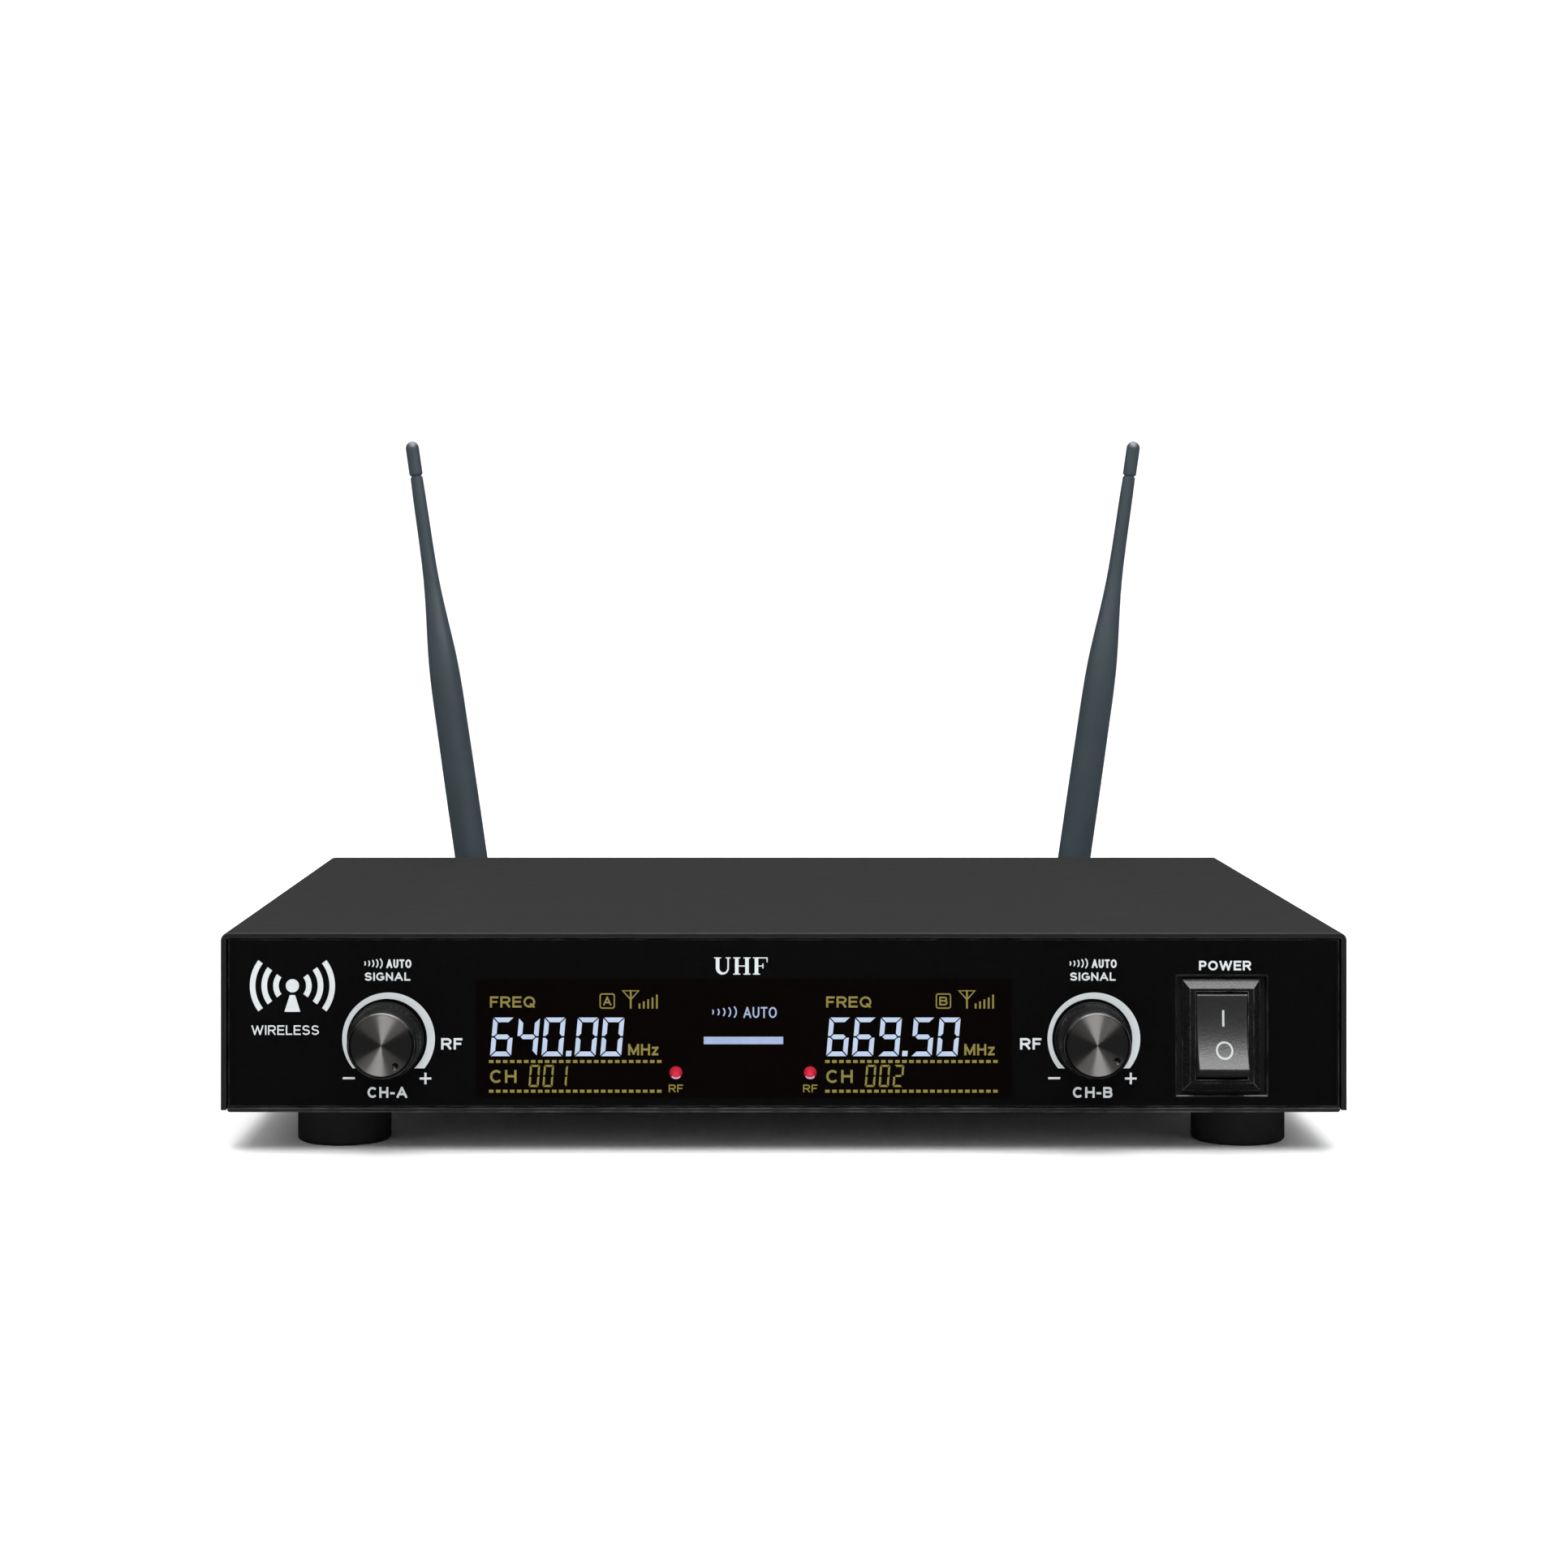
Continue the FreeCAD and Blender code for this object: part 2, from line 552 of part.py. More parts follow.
def rf_leds():
    """Two 3 mm signal lamps whose domes look out through the acrylic's small holes."""
    lamps = []
    dome_y = ACRYLIC_Y + ACRYLIC_T + 0.96
    for x in (RF_LED_A_X, RF_LED_B_X):
        dome = Part.makeSphere(1.5, V(x, dome_y, RF_LED_Z))
        barrel = rod_y(1.5, x, RF_LED_Z, dome_y, dome_y + 4.4)
        collar = rod_y(1.75, x, RF_LED_Z, dome_y + 3.5, dome_y + 4.4)
        legs = [
            box(x + d - 0.25, x + d + 0.25, dome_y + 4.4, CONTROL_BOARD_Y, RF_LED_Z - 0.25, RF_LED_Z + 0.25)
            for d in (-0.9, 0.9)
        ]
        lamps.append(fuse(dome, barrel, collar, *legs))
    return lamps


CONTROL_BOARD_CORNERS = [(x, z) for x in (-83.0, 66.5) for z in (14.5, 35.0)]


def control_board():
    """Board behind the front, which holds the potentiometers, displays and lamps."""
    board = box(-87.0, 70.5, CONTROL_BOARD_Y, CONTROL_BOARD_Y + BOARD_T, 10.5, 39.0)
    y0, y1 = CONTROL_BOARD_Y - 1, CONTROL_BOARD_Y + BOARD_T + 1
    return board.cut([rod_y(M3_HOLE_R, x, z, y0, y1) for x, z in CONTROL_BOARD_CORNERS])


def control_board_standoffs():
    """Four tapped pillars between the subpanel and the control board."""
    return [
        rod_y(2.6, x, z, SUBPANEL_BACK_Y, CONTROL_BOARD_Y).cut(
            rod_y(M3_TAPPED_R, x, z, SUBPANEL_BACK_Y + 1.2, CONTROL_BOARD_Y + 1)
        )
        for x, z in CONTROL_BOARD_CORNERS
    ]


# ---------------------------------------------------------------- main board
MAIN_BOARD_CORNERS = [(x, y) for x in (-82.0, 82.0) for y in (FRONT_Y + 36.0, FRONT_Y + 124.0)]
SHIELD_Y = FRONT_Y + 100.0


def main_board():
    """Receiver and audio board on four pillars over the tray."""
    board = box(-88.0, 88.0, FRONT_Y + 30.0, FRONT_Y + 130.0, MAIN_BOARD_Z, MAIN_BOARD_TOP)
    z0, z1 = MAIN_BOARD_Z - 1, MAIN_BOARD_TOP + 1
    return board.cut([rod(M3_HOLE_R, V(x, y, z0), V(x, y, z1)) for x, y in MAIN_BOARD_CORNERS])


def main_board_standoffs():
    """Four tapped pillars pressed into the tray."""
    return [
        rod(2.75, V(x, y, TRAY_Z), V(x, y, MAIN_BOARD_Z)).cut(
            rod(M3_TAPPED_R, V(x, y, TRAY_Z + 0.5), V(x, y, MAIN_BOARD_Z + 1))
        )
        for x, y in MAIN_BOARD_CORNERS
    ]


def board_screws():
    """Screws that hold both boards to their pillars."""
    screws = [pan_screw(2.75, 1.8, 5.5, V(x, y, MAIN_BOARD_TOP), V(0, 0, -1)) for x, y in MAIN_BOARD_CORNERS]
    back_y = CONTROL_BOARD_Y + BOARD_T
    screws += [pan_screw(2.75, 1.8, 6.0, V(x, back_y, z), V(0, -1, 0)) for x, z in CONTROL_BOARD_CORNERS]
    return screws


def tuner_shield(x):
    """Tinned can over one channel's tuner, open below, with vent holes in its lid."""
    half_w, half_d, height, wall = 18.0, 15.0, 7.0, 0.4
    y = SHIELD_Y
    can = box(x - half_w, x + half_w, y - half_d, y + half_d, MAIN_BOARD_TOP, MAIN_BOARD_TOP + height)
    inside = box(
        x - half_w + wall, x + half_w - wall, y - half_d + wall, y + half_d - wall,
        MAIN_BOARD_TOP - 1, MAIN_BOARD_TOP + height - wall,
    )
    lid_z = MAIN_BOARD_TOP + height
    holes = [
        rod(1.0, V(x + 6 * i, y + 6 * j, lid_z - 2), V(x + 6 * i, y + 6 * j, lid_z + 1))
        for i in (-2, -1, 0, 1, 2)
        for j in (-1, 0, 1)
    ]
    return can.cut([inside, *holes])


def filter_capacitors():
    """Three electrolytic capacitors, each with its rolled groove and a round shoulder."""
    cans = []
    for x in (26.0, 37.0, 48.0):
        can = turned(
            [
                (0, 0), (4.0, 0), (4.0, 1.2), (3.7, 1.6), (3.7, 2.0), (4.0, 2.4),
                (4.0, 11.6), (3.7, 12.0), (3.3, 12.0), (3.3, 11.7), (0, 11.7),
            ],
            V(x, FRONT_Y + 58.0, MAIN_BOARD_TOP),
            Z_AXIS,
        )
        cans.append(can)
    return cans


HEATSINK_Y = FRONT_Y + 62.0


def regulator_heatsink():
    """Finned heatsink that stands on the main board behind the regulator."""
    fin_t, fin_pitch, height = 1.2, 4.6, 18.0
    z0, z1 = MAIN_BOARD_TOP, MAIN_BOARD_TOP + height
    plate = box(-12.0, 12.0, HEATSINK_Y, HEATSINK_Y + 3.0, z0, z1)
    fins = [
        box(fin_pitch * k - fin_t / 2, fin_pitch * k + fin_t / 2, HEATSINK_Y + 3.0, HEATSINK_Y + 12.0, z0, z1)
        for k in (-2, -1, 0, 1, 2)
    ]
    return fuse(plate, *fins)


def voltage_regulator():
    """Regulator in a tab package, flat against its heatsink, on three legs."""
    z0 = MAIN_BOARD_TOP
    tab = box(-5.0, 5.0, HEATSINK_Y - 1.3, HEATSINK_Y, z0 + 3.0, z0 + 17.0)
    case = box(-5.0, 5.0, HEATSINK_Y - 4.5, HEATSINK_Y - 1.3, z0 + 3.0, z0 + 12.0)
    legs = [box(d - 0.4, d + 0.4, HEATSINK_Y - 3.0, HEATSINK_Y - 2.5, z0, z0 + 3.0) for d in (-2.54, 0, 2.54)]
    eye = rod_y(1.8, 0, z0 + 14.6, HEATSINK_Y - 2, HEATSINK_Y)
    return fuse(tab, case, *legs).cut(eye)


RIBBON_Y = FRONT_Y + 34.5
RIBBON_Z = 30.5


def ribbon_connectors():
    """The ribbon cable's two connectors, one on each board."""
    on_control = box(-20.0, 20.0, CONTROL_BOARD_Y + BOARD_T, FRONT_Y + 17.2, RIBBON_Z - 2.5, RIBBON_Z + 2.5)
    on_main = box(-20.0, 20.0, RIBBON_Y - 2.5, RIBBON_Y + 2.5, MAIN_BOARD_TOP, MAIN_BOARD_TOP + 6.0)
    return [on_control, on_main]


def ribbon_cable():
    """Flat cable from the control board back and down to the main board, with one round bend."""
    bend_r, thick, half_w = 5.0, 0.5, 18.0
    start_y, end_z = FRONT_Y + 17.2, MAIN_BOARD_TOP + 6.0
    centre_y, centre_z = RIBBON_Y - bend_r, RIBBON_Z - bend_r

    def bend_point(radius, degrees):
        a = math.radians(degrees)
        return V(-half_w, centre_y + radius * math.sin(a), centre_z + radius * math.cos(a))

    out_r, in_r = bend_r + thick / 2, bend_r - thick / 2
    end_far = V(-half_w, RIBBON_Y + thick / 2, end_z)
    end_near = V(-half_w, RIBBON_Y - thick / 2, end_z)
    outline = Part.Wire([
        Part.LineSegment(V(-half_w, start_y, RIBBON_Z + thick / 2), bend_point(out_r, 0)).toShape(),
        Part.Arc(bend_point(out_r, 0), bend_point(out_r, 45), bend_point(out_r, 90)).toShape(),
        Part.LineSegment(bend_point(out_r, 90), end_far).toShape(),
        Part.LineSegment(end_far, end_near).toShape(),
        Part.LineSegment(end_near, bend_point(in_r, 90)).toShape(),
        Part.Arc(bend_point(in_r, 90), bend_point(in_r, 45), bend_point(in_r, 0)).toShape(),
        Part.LineSegment(bend_point(in_r, 0), V(-half_w, start_y, RIBBON_Z - thick / 2)).toShape(),
        Part.LineSegment(
            V(-half_w, start_y, RIBBON_Z - thick / 2), V(-half_w, start_y, RIBBON_Z + thick / 2)
        ).toShape(),
    ])
    return Part.Face(outline).extrude(V(2 * half_w, 0, 0))


def internal_wiring():
    """Coaxial leads from the antenna sockets, and pairs of wires from the switch and the power inlet."""
    leads = []
    for side in (-1, 1):
        x, shield_x = side * ANTENNA_X, side * 50.0
        tail_y, shield_back = REAR_Y - 13.0, SHIELD_Y + 15.0
        leads.append(lead([
            V(x, tail_y, CONNECTOR_Z), V(x, tail_y - 10, CONNECTOR_Z),
            V(shield_x, shield_back + 12, MAIN_BOARD_TOP + 4), V(shield_x, shield_back, MAIN_BOARD_TOP + 4),
        ], 0.9))
    terminal_y = FRONT_Y + 23.0
    for z, board_x in ((SWITCH_Z - 4, 84.0), (SWITCH_Z + 4, 79.0)):
        leads.append(lead([
            V(SWITCH_X, terminal_y, z), V(SWITCH_X, terminal_y + 10, z),
            V(board_x, FRONT_Y + 44, MAIN_BOARD_TOP + 7), V(board_x, FRONT_Y + 44, MAIN_BOARD_TOP),
        ], 0.7))
    for dx in (-2.0, 2.0):
        x = DC_INLET_X + dx
        leads.append(lead([
            V(x, DC_BACK_Y, CONNECTOR_Z), V(x, DC_BACK_Y - 12, CONNECTOR_Z),
            V(x, REAR_Y - 37, CONNECTOR_Z - 1), V(x, REAR_Y - 37, MAIN_BOARD_TOP),
        ], 0.7))
    return leads


# ---------------------------------------------------------------- rear connectors
SOCKET_THREAD_R = 4.7
SOCKET_BARREL_R = 4.8
LUG_OUT = 5.2
XLR_BARREL_R = 11.8
XLR_BORE_R = 9.6
XLR_DEPTH = 15.0
XLR_FLANGE_T = 2.0
JACK_BUSHING_R = 4.75
JACK_BORE_R = 3.25
JACK_BORE_L = 30.0
JACK_OUT = 4.0
DC_BODY_R = 4.0
DC_FLANGE_T = 1.2
DC_DEPTH = 10.0
DC_PIN_R = 1.05
DC_PIN_L = 9.0
DC_BACK_Y = REAR_Y - 12.0


def antenna_socket(x):
    """Bayonet antenna socket: a shoulder and barrel outside, two locking lugs, and a threaded tail inside."""
    z = CONNECTOR_Z
    shoulder = rod_y(6.7, x, z, REAR_Y, REAR_Y + 1.8)
    barrel = rod_y(SOCKET_BARREL_R, x, z, REAR_Y, REAR_Y + 12.3)
    thread = rod_y(SOCKET_THREAD_R, x, z, REAR_Y - 9.5, REAR_Y)
    tail = rod_y(1.0, x, z, REAR_Y - 13.0, REAR_Y - 9.5)
    lugs = rod(1.0, V(x - 5.7, REAR_Y + LUG_OUT, z), V(x + 5.7, REAR_Y + LUG_OUT, z))
    cavity = rod_y(4.05, x, z, REAR_Y + 3.5, REAR_Y + 13.0)
    insulator = rod_y(2.3, x, z, REAR_Y + 3.4, REAR_Y + 8.5)
    contact = rod_y(0.7, x, z, REAR_Y + 4.0, REAR_Y + 9.0)
    return fuse(fuse(shoulder, barrel, thread, tail, lugs).cut(cavity), insulator).cut(contact)


def antenna_socket_nuts():
    """Nuts that clamp the two sockets from inside the rear panel."""
    nuts = []
    for x in (-ANTENNA_X, ANTENNA_X):
        nut = hexagon_y(13.0, x, CONNECTOR_Z, PANEL_IN_Y - 2.5, PANEL_IN_Y)
        nuts.append(nut.cut(rod_y(SOCKET_THREAD_R + 0.05, x, CONNECTOR_Z, PANEL_IN_Y - 4, PANEL_IN_Y + 1)))
    return nuts


def xlr_screw_places(x):
    """Centres of the two diagonal screws of one output connector."""
    return [(x - 9.5, CONNECTOR_Z + 12.0), (x + 9.5, CONNECTOR_Z - 12.0)]


def xlr_housing(x):
    """Three-pole output connector: a flange over the panel, a round shell behind it, and a latch notch."""
    z = CONNECTOR_Z
    flange = rounded_edges(
        box(x - 13.0, x + 13.0, REAR_Y, REAR_Y + XLR_FLANGE_T, z - 15.5, z + 15.5),
        3.0,
        lambda e: runs_along(e, Y_AXIS),
    )
    flange = broken_edges(flange, 0.4, lambda e: lies_at_y(e, REAR_Y + XLR_FLANGE_T))
    barrel = rod_y(XLR_BARREL_R, x, z, REAR_Y - 19.0, REAR_Y)
    face_y = REAR_Y + XLR_FLANGE_T
    cutters = [
        rod_y(XLR_BORE_R, x, z, face_y - XLR_DEPTH, face_y + 1),
        box(x - 2.0, x + 2.0, face_y - 6.0, face_y + 1, z + 8.0, z + 10.9),
    ]
    cutters += [rod_y(M3_HOLE_R, sx, sz, REAR_Y - 1, face_y + 1) for sx, sz in xlr_screw_places(x)]
    return fuse(flange, barrel).cut(cutters)


def xlr_pins():
    """Three contact pins in each output connector, with rounded tips."""
    floor_y = REAR_Y + XLR_FLANGE_T - XLR_DEPTH
    pins = []
    for x in (XLR_A_X, XLR_B_X):
        for degrees in (30, 150, 270):
            a = math.radians(degrees)
            start = V(x + 3.9 * math.cos(a), floor_y, CONNECTOR_Z + 3.9 * math.sin(a))
            pins.append(turned([(0, 0), (1.2, 0), (1.2, 11.4), (0.9, 12.0), (0.4, 12.2), (0, 12.2)], start))
    return pins


def xlr_screws():
    """Two screws through each output connector's flange."""
    return [
        pan_screw(2.6, 1.5, 7.0, V(sx, REAR_Y + XLR_FLANGE_T, sz), V(0, -1, 0))
        for x in (XLR_A_X, XLR_B_X)
        for sx, sz in xlr_screw_places(x)
    ]


def mix_jack():
    """6.35 mm output jack: a case inside the panel and a bushing through it, bored for the plug."""
    x, z = MIX_JACK_X, CONNECTOR_Z
    case = box(x - 8.0, x + 8.0, REAR_Y + JACK_OUT - JACK_BORE_L - 2.0, PANEL_IN_Y, z - 7.0, z + 7.0)
    end_y = REAR_Y + JACK_OUT
    bushing = rod_y(JACK_BUSHING_R, x, z, PANEL_IN_Y - 1, end_y)
    bushing = broken_edges(bushing, 0.4, lambda e: lies_at_y(e, end_y))
    bore = rod_y(JACK_BORE_R, x, z, REAR_Y + JACK_OUT - JACK_BORE_L, REAR_Y + JACK_OUT + 1)
    return fuse(case, bushing).cut(bore)


def mix_jack_nut():
    """Hexagonal nut on the jack's bushing, outside the panel."""
    nut = hexagon_y(13.0, MIX_JACK_X, CONNECTOR_Z, REAR_Y, REAR_Y + 2.4)
    return nut.cut(rod_y(JACK_BUSHING_R + 0.05, MIX_JACK_X, CONNECTOR_Z, REAR_Y - 1, REAR_Y + 4))


def dc_inlet():
    """Round power inlet for a coaxial plug: a flange outside the panel and a hollow body inside."""
    x, z = DC_INLET_X, CONNECTOR_Z
    flange = broken_edges(
        rod_y(5.6, x, z, REAR_Y, REAR_Y + DC_FLANGE_T), 0.3, lambda e: lies_at_y(e, REAR_Y + DC_FLANGE_T)
    )
    body = rod_y(DC_BODY_R, x, z, DC_BACK_Y, REAR_Y)
    mouth_y = REAR_Y + DC_FLANGE_T
    return fuse(flange, body).cut(rod_y(3.05, x, z, mouth_y - DC_DEPTH, mouth_y + 1))


def dc_inlet_pin():
    """Centre pin of the power inlet."""
    return turned(
        [(0, 0), (DC_PIN_R, 0), (DC_PIN_R, DC_PIN_L - 0.3), (DC_PIN_R - 0.3, DC_PIN_L), (0, DC_PIN_L)],
        V(DC_INLET_X, REAR_Y + DC_FLANGE_T - DC_DEPTH, CONNECTOR_Z),
    )


# ---------------------------------------------------------------- folding antennas
# Each is modelled upright on the axis through its socket, and then leaned outward about that axis.
COUPLING_R = 7.2
HINGE_PIN_R = 1.0
TONGUE_R = 3.9
TONGUE_W = 5.6
EAR_W = 9.8


def leaned(shape, side):
    """The shape leaned outward about the socket's axis."""
    shape.rotate(V(side * ANTENNA_X, 0, CONNECTOR_Z), Y_AXIS, side * ANTENNA_LEAN)
    return shape


def antenna_coupling(side):
    """Knurled bayonet ring: a groove for the socket's lugs and a round locking hole over each of them."""
    x, z = side * ANTENNA_X, CONNECTOR_Z
    ring = turned(
        [
            (4.95, 2.6), (6.6, 2.6), (6.8, 2.8), (6.8, 7.0), (COUPLING_R, 7.4), (COUPLING_R, 13.2),
            (6.8, 14.0), (4.1, 14.0), (4.1, 12.7), (4.95, 12.7), (4.95, 6.6), (5.85, 6.6), (5.85, 3.8),
            (4.95, 3.8),
        ],
        V(x, REAR_Y, z),
    )
    locking_holes = rod(1.15, V(x - 8, REAR_Y + LUG_OUT, z), V(x + 8, REAR_Y + LUG_OUT, z))
    holes = locking_holes.cut(rod_y(5.5, x, z, REAR_Y, REAR_Y + 12))
    knurls = notches_y(COUPLING_R + 0.05, 0.3, 32, x, z, REAR_Y + 7.9, REAR_Y + 12.8)
    return ring.cut([holes, knurls])


def antenna_elbow(side):
    """Swivelling plug body: a nose with its pin inside the socket, and a fork that carries the hinge."""
    x, z = side * ANTENNA_X, CONNECTOR_Z
    nose = rod_y(3.9, x, z, REAR_Y + 4.6, REAR_Y + 15.0).cut(rod_y(2.5, x, z, REAR_Y + 4, REAR_Y + 13.5))
    pin = rod_y(0.6, x, z, REAR_Y + 6.0, REAR_Y + 14.0)
    collar = rounded_edges(
        rod_y(6.2, x, z, REAR_Y + 14.3, REAR_Y + 19.2), 0.8, lambda e: lies_at_y(e, REAR_Y + 19.2)
    )
    ears = fuse(
        box(x - EAR_W / 2, x + EAR_W / 2, REAR_Y + 17, HINGE_Y, z - EAR_R, z + EAR_R),
        rod(EAR_R, V(x - EAR_W / 2, HINGE_Y, z), V(x + EAR_W / 2, HINGE_Y, z)),
    )
    ears = rounded_edges(
        ears,
        0.5,
        lambda e: abs(abs(e.BoundBox.Center.x - x) - EAR_W / 2) < 1e-3 and e.BoundBox.YMax > REAR_Y + 17.1,
    )
    slot_w = TONGUE_W + 0.3
    cutters = [
        box(x - slot_w / 2, x + slot_w / 2, REAR_Y + 19.4, HINGE_Y + 6, z - 8, z + 8),
        rod(HINGE_PIN_R + 0.05, V(x - 6, HINGE_Y, z), V(x + 6, HINGE_Y, z)),
    ]
    return leaned(fuse(nose, pin, collar, ears).cut(cutters), side)


def antenna_hinge_pin(side):
    """Pin through the fork's ears."""
    x = side * ANTENNA_X
    reach = EAR_W / 2 - 0.05
    middle = V(x, HINGE_Y, CONNECTOR_Z)
    return leaned(rod(HINGE_PIN_R, middle - X_AXIS * reach, middle + X_AXIS * reach), side)


def antenna_mast(side):
    """Whip antenna: a tongue in the fork, a stout lower sleeve that narrows smoothly, and a capped tip."""
    x, z = side * ANTENNA_X, CONNECTOR_Z
    shift = ANTENNA_L
    foot_at, neck_r = 4.7, 1.5
    tip_cap_l, tip_cap_r = 8.3, 1.62
    whip = Part.BSplineCurve()
    whip.interpolate([
        V(radius, 0, shift - below_tip)
        for radius, below_tip in (
            (4.0, shift - 8.0), (3.95, 90.0), (3.85, 70.0), (3.5, 54.0),
            (2.6, 43.5), (1.95, 35.0), (1.68, 25.0), (neck_r, tip_cap_l + 0.6),
        )
    ])
    groove = [
        V(neck_r, 0, shift - tip_cap_l - 0.6), V(neck_r - 0.25, 0, shift - tip_cap_l - 0.4),
        V(neck_r - 0.25, 0, shift - tip_cap_l), V(tip_cap_r - 0.1, 0, shift - tip_cap_l),
        V(tip_cap_r, 0, shift - tip_cap_l + 0.3), V(tip_cap_r, 0, shift - tip_cap_r),
    ]
    crown_at = V(tip_cap_r * math.sin(math.pi / 4), 0, shift - tip_cap_r * (1 - math.cos(math.pi / 4)))
    crown = Part.Arc(groove[-1], crown_at, V(0, 0, shift))
    base = [V(0, 0, shift), V(0, 0, foot_at), V(3.6, 0, foot_at), V(4.0, 0, foot_at + 0.4), V(4.0, 0, 8.0)]
    edges = [whip.toShape(), Part.makePolygon(groove), crown.toShape(), Part.makePolygon(base)]
    outline = Part.Wire([e for shape in edges for e in shape.Edges])
    sleeve = Part.Face(outline).revolve(V(0, 0, 0), Z_AXIS, 360)
    tongue = fuse(
        rod(TONGUE_R, V(-TONGUE_W / 2, 0, 0), V(TONGUE_W / 2, 0, 0)),
        box(-TONGUE_W / 2, TONGUE_W / 2, -2.8, 2.8, 0, foot_at + 1),
    )
    mast = fuse(sleeve, tongue).cut(rod(HINGE_PIN_R + 0.06, V(-6, 0, 0), V(6, 0, 0)))
    mast.translate(V(x, HINGE_Y, z))
    return leaned(mast, side)


# ---------------------------------------------------------------- nodes
def all_nodes():
    """Every sub-part by name: a solid, or a list of separate solids."""
    nodes = {
        "top_cover": top_cover(),
        "chassis_tray": chassis_tray(),
        "front_subpanel": front_subpanel(),
        "front_panel": front_panel(),
        "rear_panel": rear_panel(),
        "cover_screws": cover_screws(),
        "foot_screws": foot_screws(),
        "pot_nuts": [pot_nut(x) for x in (KNOB_A_X, KNOB_B_X)],
        "switch_housing": switch_housing(),
        "switch_rocker": switch_rocker(),
        "switch_terminals": switch_terminals(),
        "lcd_backlights": lcd_backlights(),
        "indicator_light_guide": indicator_light_guide(),
        "rf_leds": rf_leds(),
        "control_board": control_board(),
        "control_board_standoffs": control_board_standoffs(),
        "main_board": main_board(),
        "main_board_standoffs": main_board_standoffs(),
        "board_screws": board_screws(),
        "filter_capacitors": filter_capacitors(),
        "regulator_heatsink": regulator_heatsink(),
        "voltage_regulator": voltage_regulator(),
        "ribbon_connectors": ribbon_connectors(),
        "ribbon_cable": ribbon_cable(),
        "internal_wiring": internal_wiring(),
        "antenna_socket_nuts": antenna_socket_nuts(),
        "xlr_a_housing": xlr_housing(XLR_A_X),
        "xlr_b_housing": xlr_housing(XLR_B_X),
        "xlr_pins": xlr_pins(),
        "xlr_screws": xlr_screws(),
        "mix_jack": mix_jack(),
        "mix_jack_nut": mix_jack_nut(),
        "dc_inlet": dc_inlet(),
        "dc_inlet_pin": dc_inlet_pin(),
    }
    for name, (x, y) in zip(("front_left", "front_right", "rear_left", "rear_right"), foot_places()):
        nodes["foot_" + name] = foot(x, y)
    for channel, x, pointer in (("a", KNOB_A_X, KNOB_A_POINTER), ("b", KNOB_B_X, KNOB_B_POINTER)):
        nodes[f"pot_{channel}_body"] = pot_body(x)
        nodes[f"pot_{channel}_shaft"] = pot_shaft(x, pointer)
        nodes[f"knob_{channel}"] = knob(x, pointer)
        nodes[f"knob_{channel}_cap"] = knob_cap(x, pointer)
    for channel, display_x, shield_x in (("a", DISPLAY_A_X, -50.0), ("b", DISPLAY_B_X, 50.0)):
        nodes[f"lcd_{channel}_glass"] = lcd_glass(display_x)
        nodes[f"tuner_shield_{channel}"] = tuner_shield(shield_x)
    for name, side in (("left", -1), ("right", 1)):
        nodes[f"antenna_{name}_socket"] = antenna_socket(side * ANTENNA_X)
        nodes[f"antenna_{name}_coupling"] = antenna_coupling(side)
        nodes[f"antenna_{name}_elbow"] = antenna_elbow(side)
        nodes[f"antenna_{name}_hinge_pin"] = antenna_hinge_pin(side)
        nodes[f"antenna_{name}_mast"] = antenna_mast(side)
    return nodes


os.makedirs("parts", exist_ok=True)
for node, made in all_nodes().items():
    solids = made if isinstance(made, list) else [made]
    for solid in solids:
        if not solid.isValid() or len(solid.Solids) != 1:
            raise ValueError(f"{node} has a faulty solid")
    shape = Part.makeCompound(solids) if len(solids) > 1 else solids[0]
    shape.exportStep(f"parts/{node}.step")
    print(f"{node}: {len(solids)} solid(s), {sum(s.Volume for s in solids):.1f} mm3")
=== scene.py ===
"""Looks of the two-channel wireless receiver: materials for every CAD node, the print and the displays on
the front, the print on the rear, the rocker's marks, a pale studio bowl, soft lights and the camera.

Marks are drawn in millimetres on the face that carries them, u to the right and v up as seen by someone who
looks at that face. Everything else is in metres, in the part's own frame: +X right, +Y to the rear, +Z up.
"""

import json
import math

import bmesh
import bpy
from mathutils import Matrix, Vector
from mathutils.bvhtree import BVHTree


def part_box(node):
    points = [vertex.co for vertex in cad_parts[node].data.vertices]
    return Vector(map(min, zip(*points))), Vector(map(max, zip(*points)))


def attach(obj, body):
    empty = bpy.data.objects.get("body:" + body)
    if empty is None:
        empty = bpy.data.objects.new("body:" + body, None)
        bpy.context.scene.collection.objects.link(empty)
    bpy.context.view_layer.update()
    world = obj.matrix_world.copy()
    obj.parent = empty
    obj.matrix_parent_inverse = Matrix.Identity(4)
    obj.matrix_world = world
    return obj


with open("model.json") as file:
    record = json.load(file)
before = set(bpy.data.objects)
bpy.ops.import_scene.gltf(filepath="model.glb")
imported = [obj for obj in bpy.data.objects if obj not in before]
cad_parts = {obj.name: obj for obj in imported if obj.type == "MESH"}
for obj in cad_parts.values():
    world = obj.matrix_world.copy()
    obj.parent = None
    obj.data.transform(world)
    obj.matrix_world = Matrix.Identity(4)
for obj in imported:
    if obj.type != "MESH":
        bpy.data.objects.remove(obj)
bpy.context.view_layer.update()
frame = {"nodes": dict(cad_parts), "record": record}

MM = 0.001
FRONT_LO, FRONT_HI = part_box("front_panel")
FRONT_MID_Z = (FRONT_LO.z + FRONT_HI.z) / 2
REAR_FACE_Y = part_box("rear_panel")[1].y


# ---------------------------------------------------------------- colours and shader helpers
# Cosine between the rounded and the true normal: an edge up to the first, flat from the second
EDGE_COSINE, FLAT_COSINE = 0.86, 0.995


def grey(level):
    """Neutral linear colour."""
    return (level, level, level, 1.0)


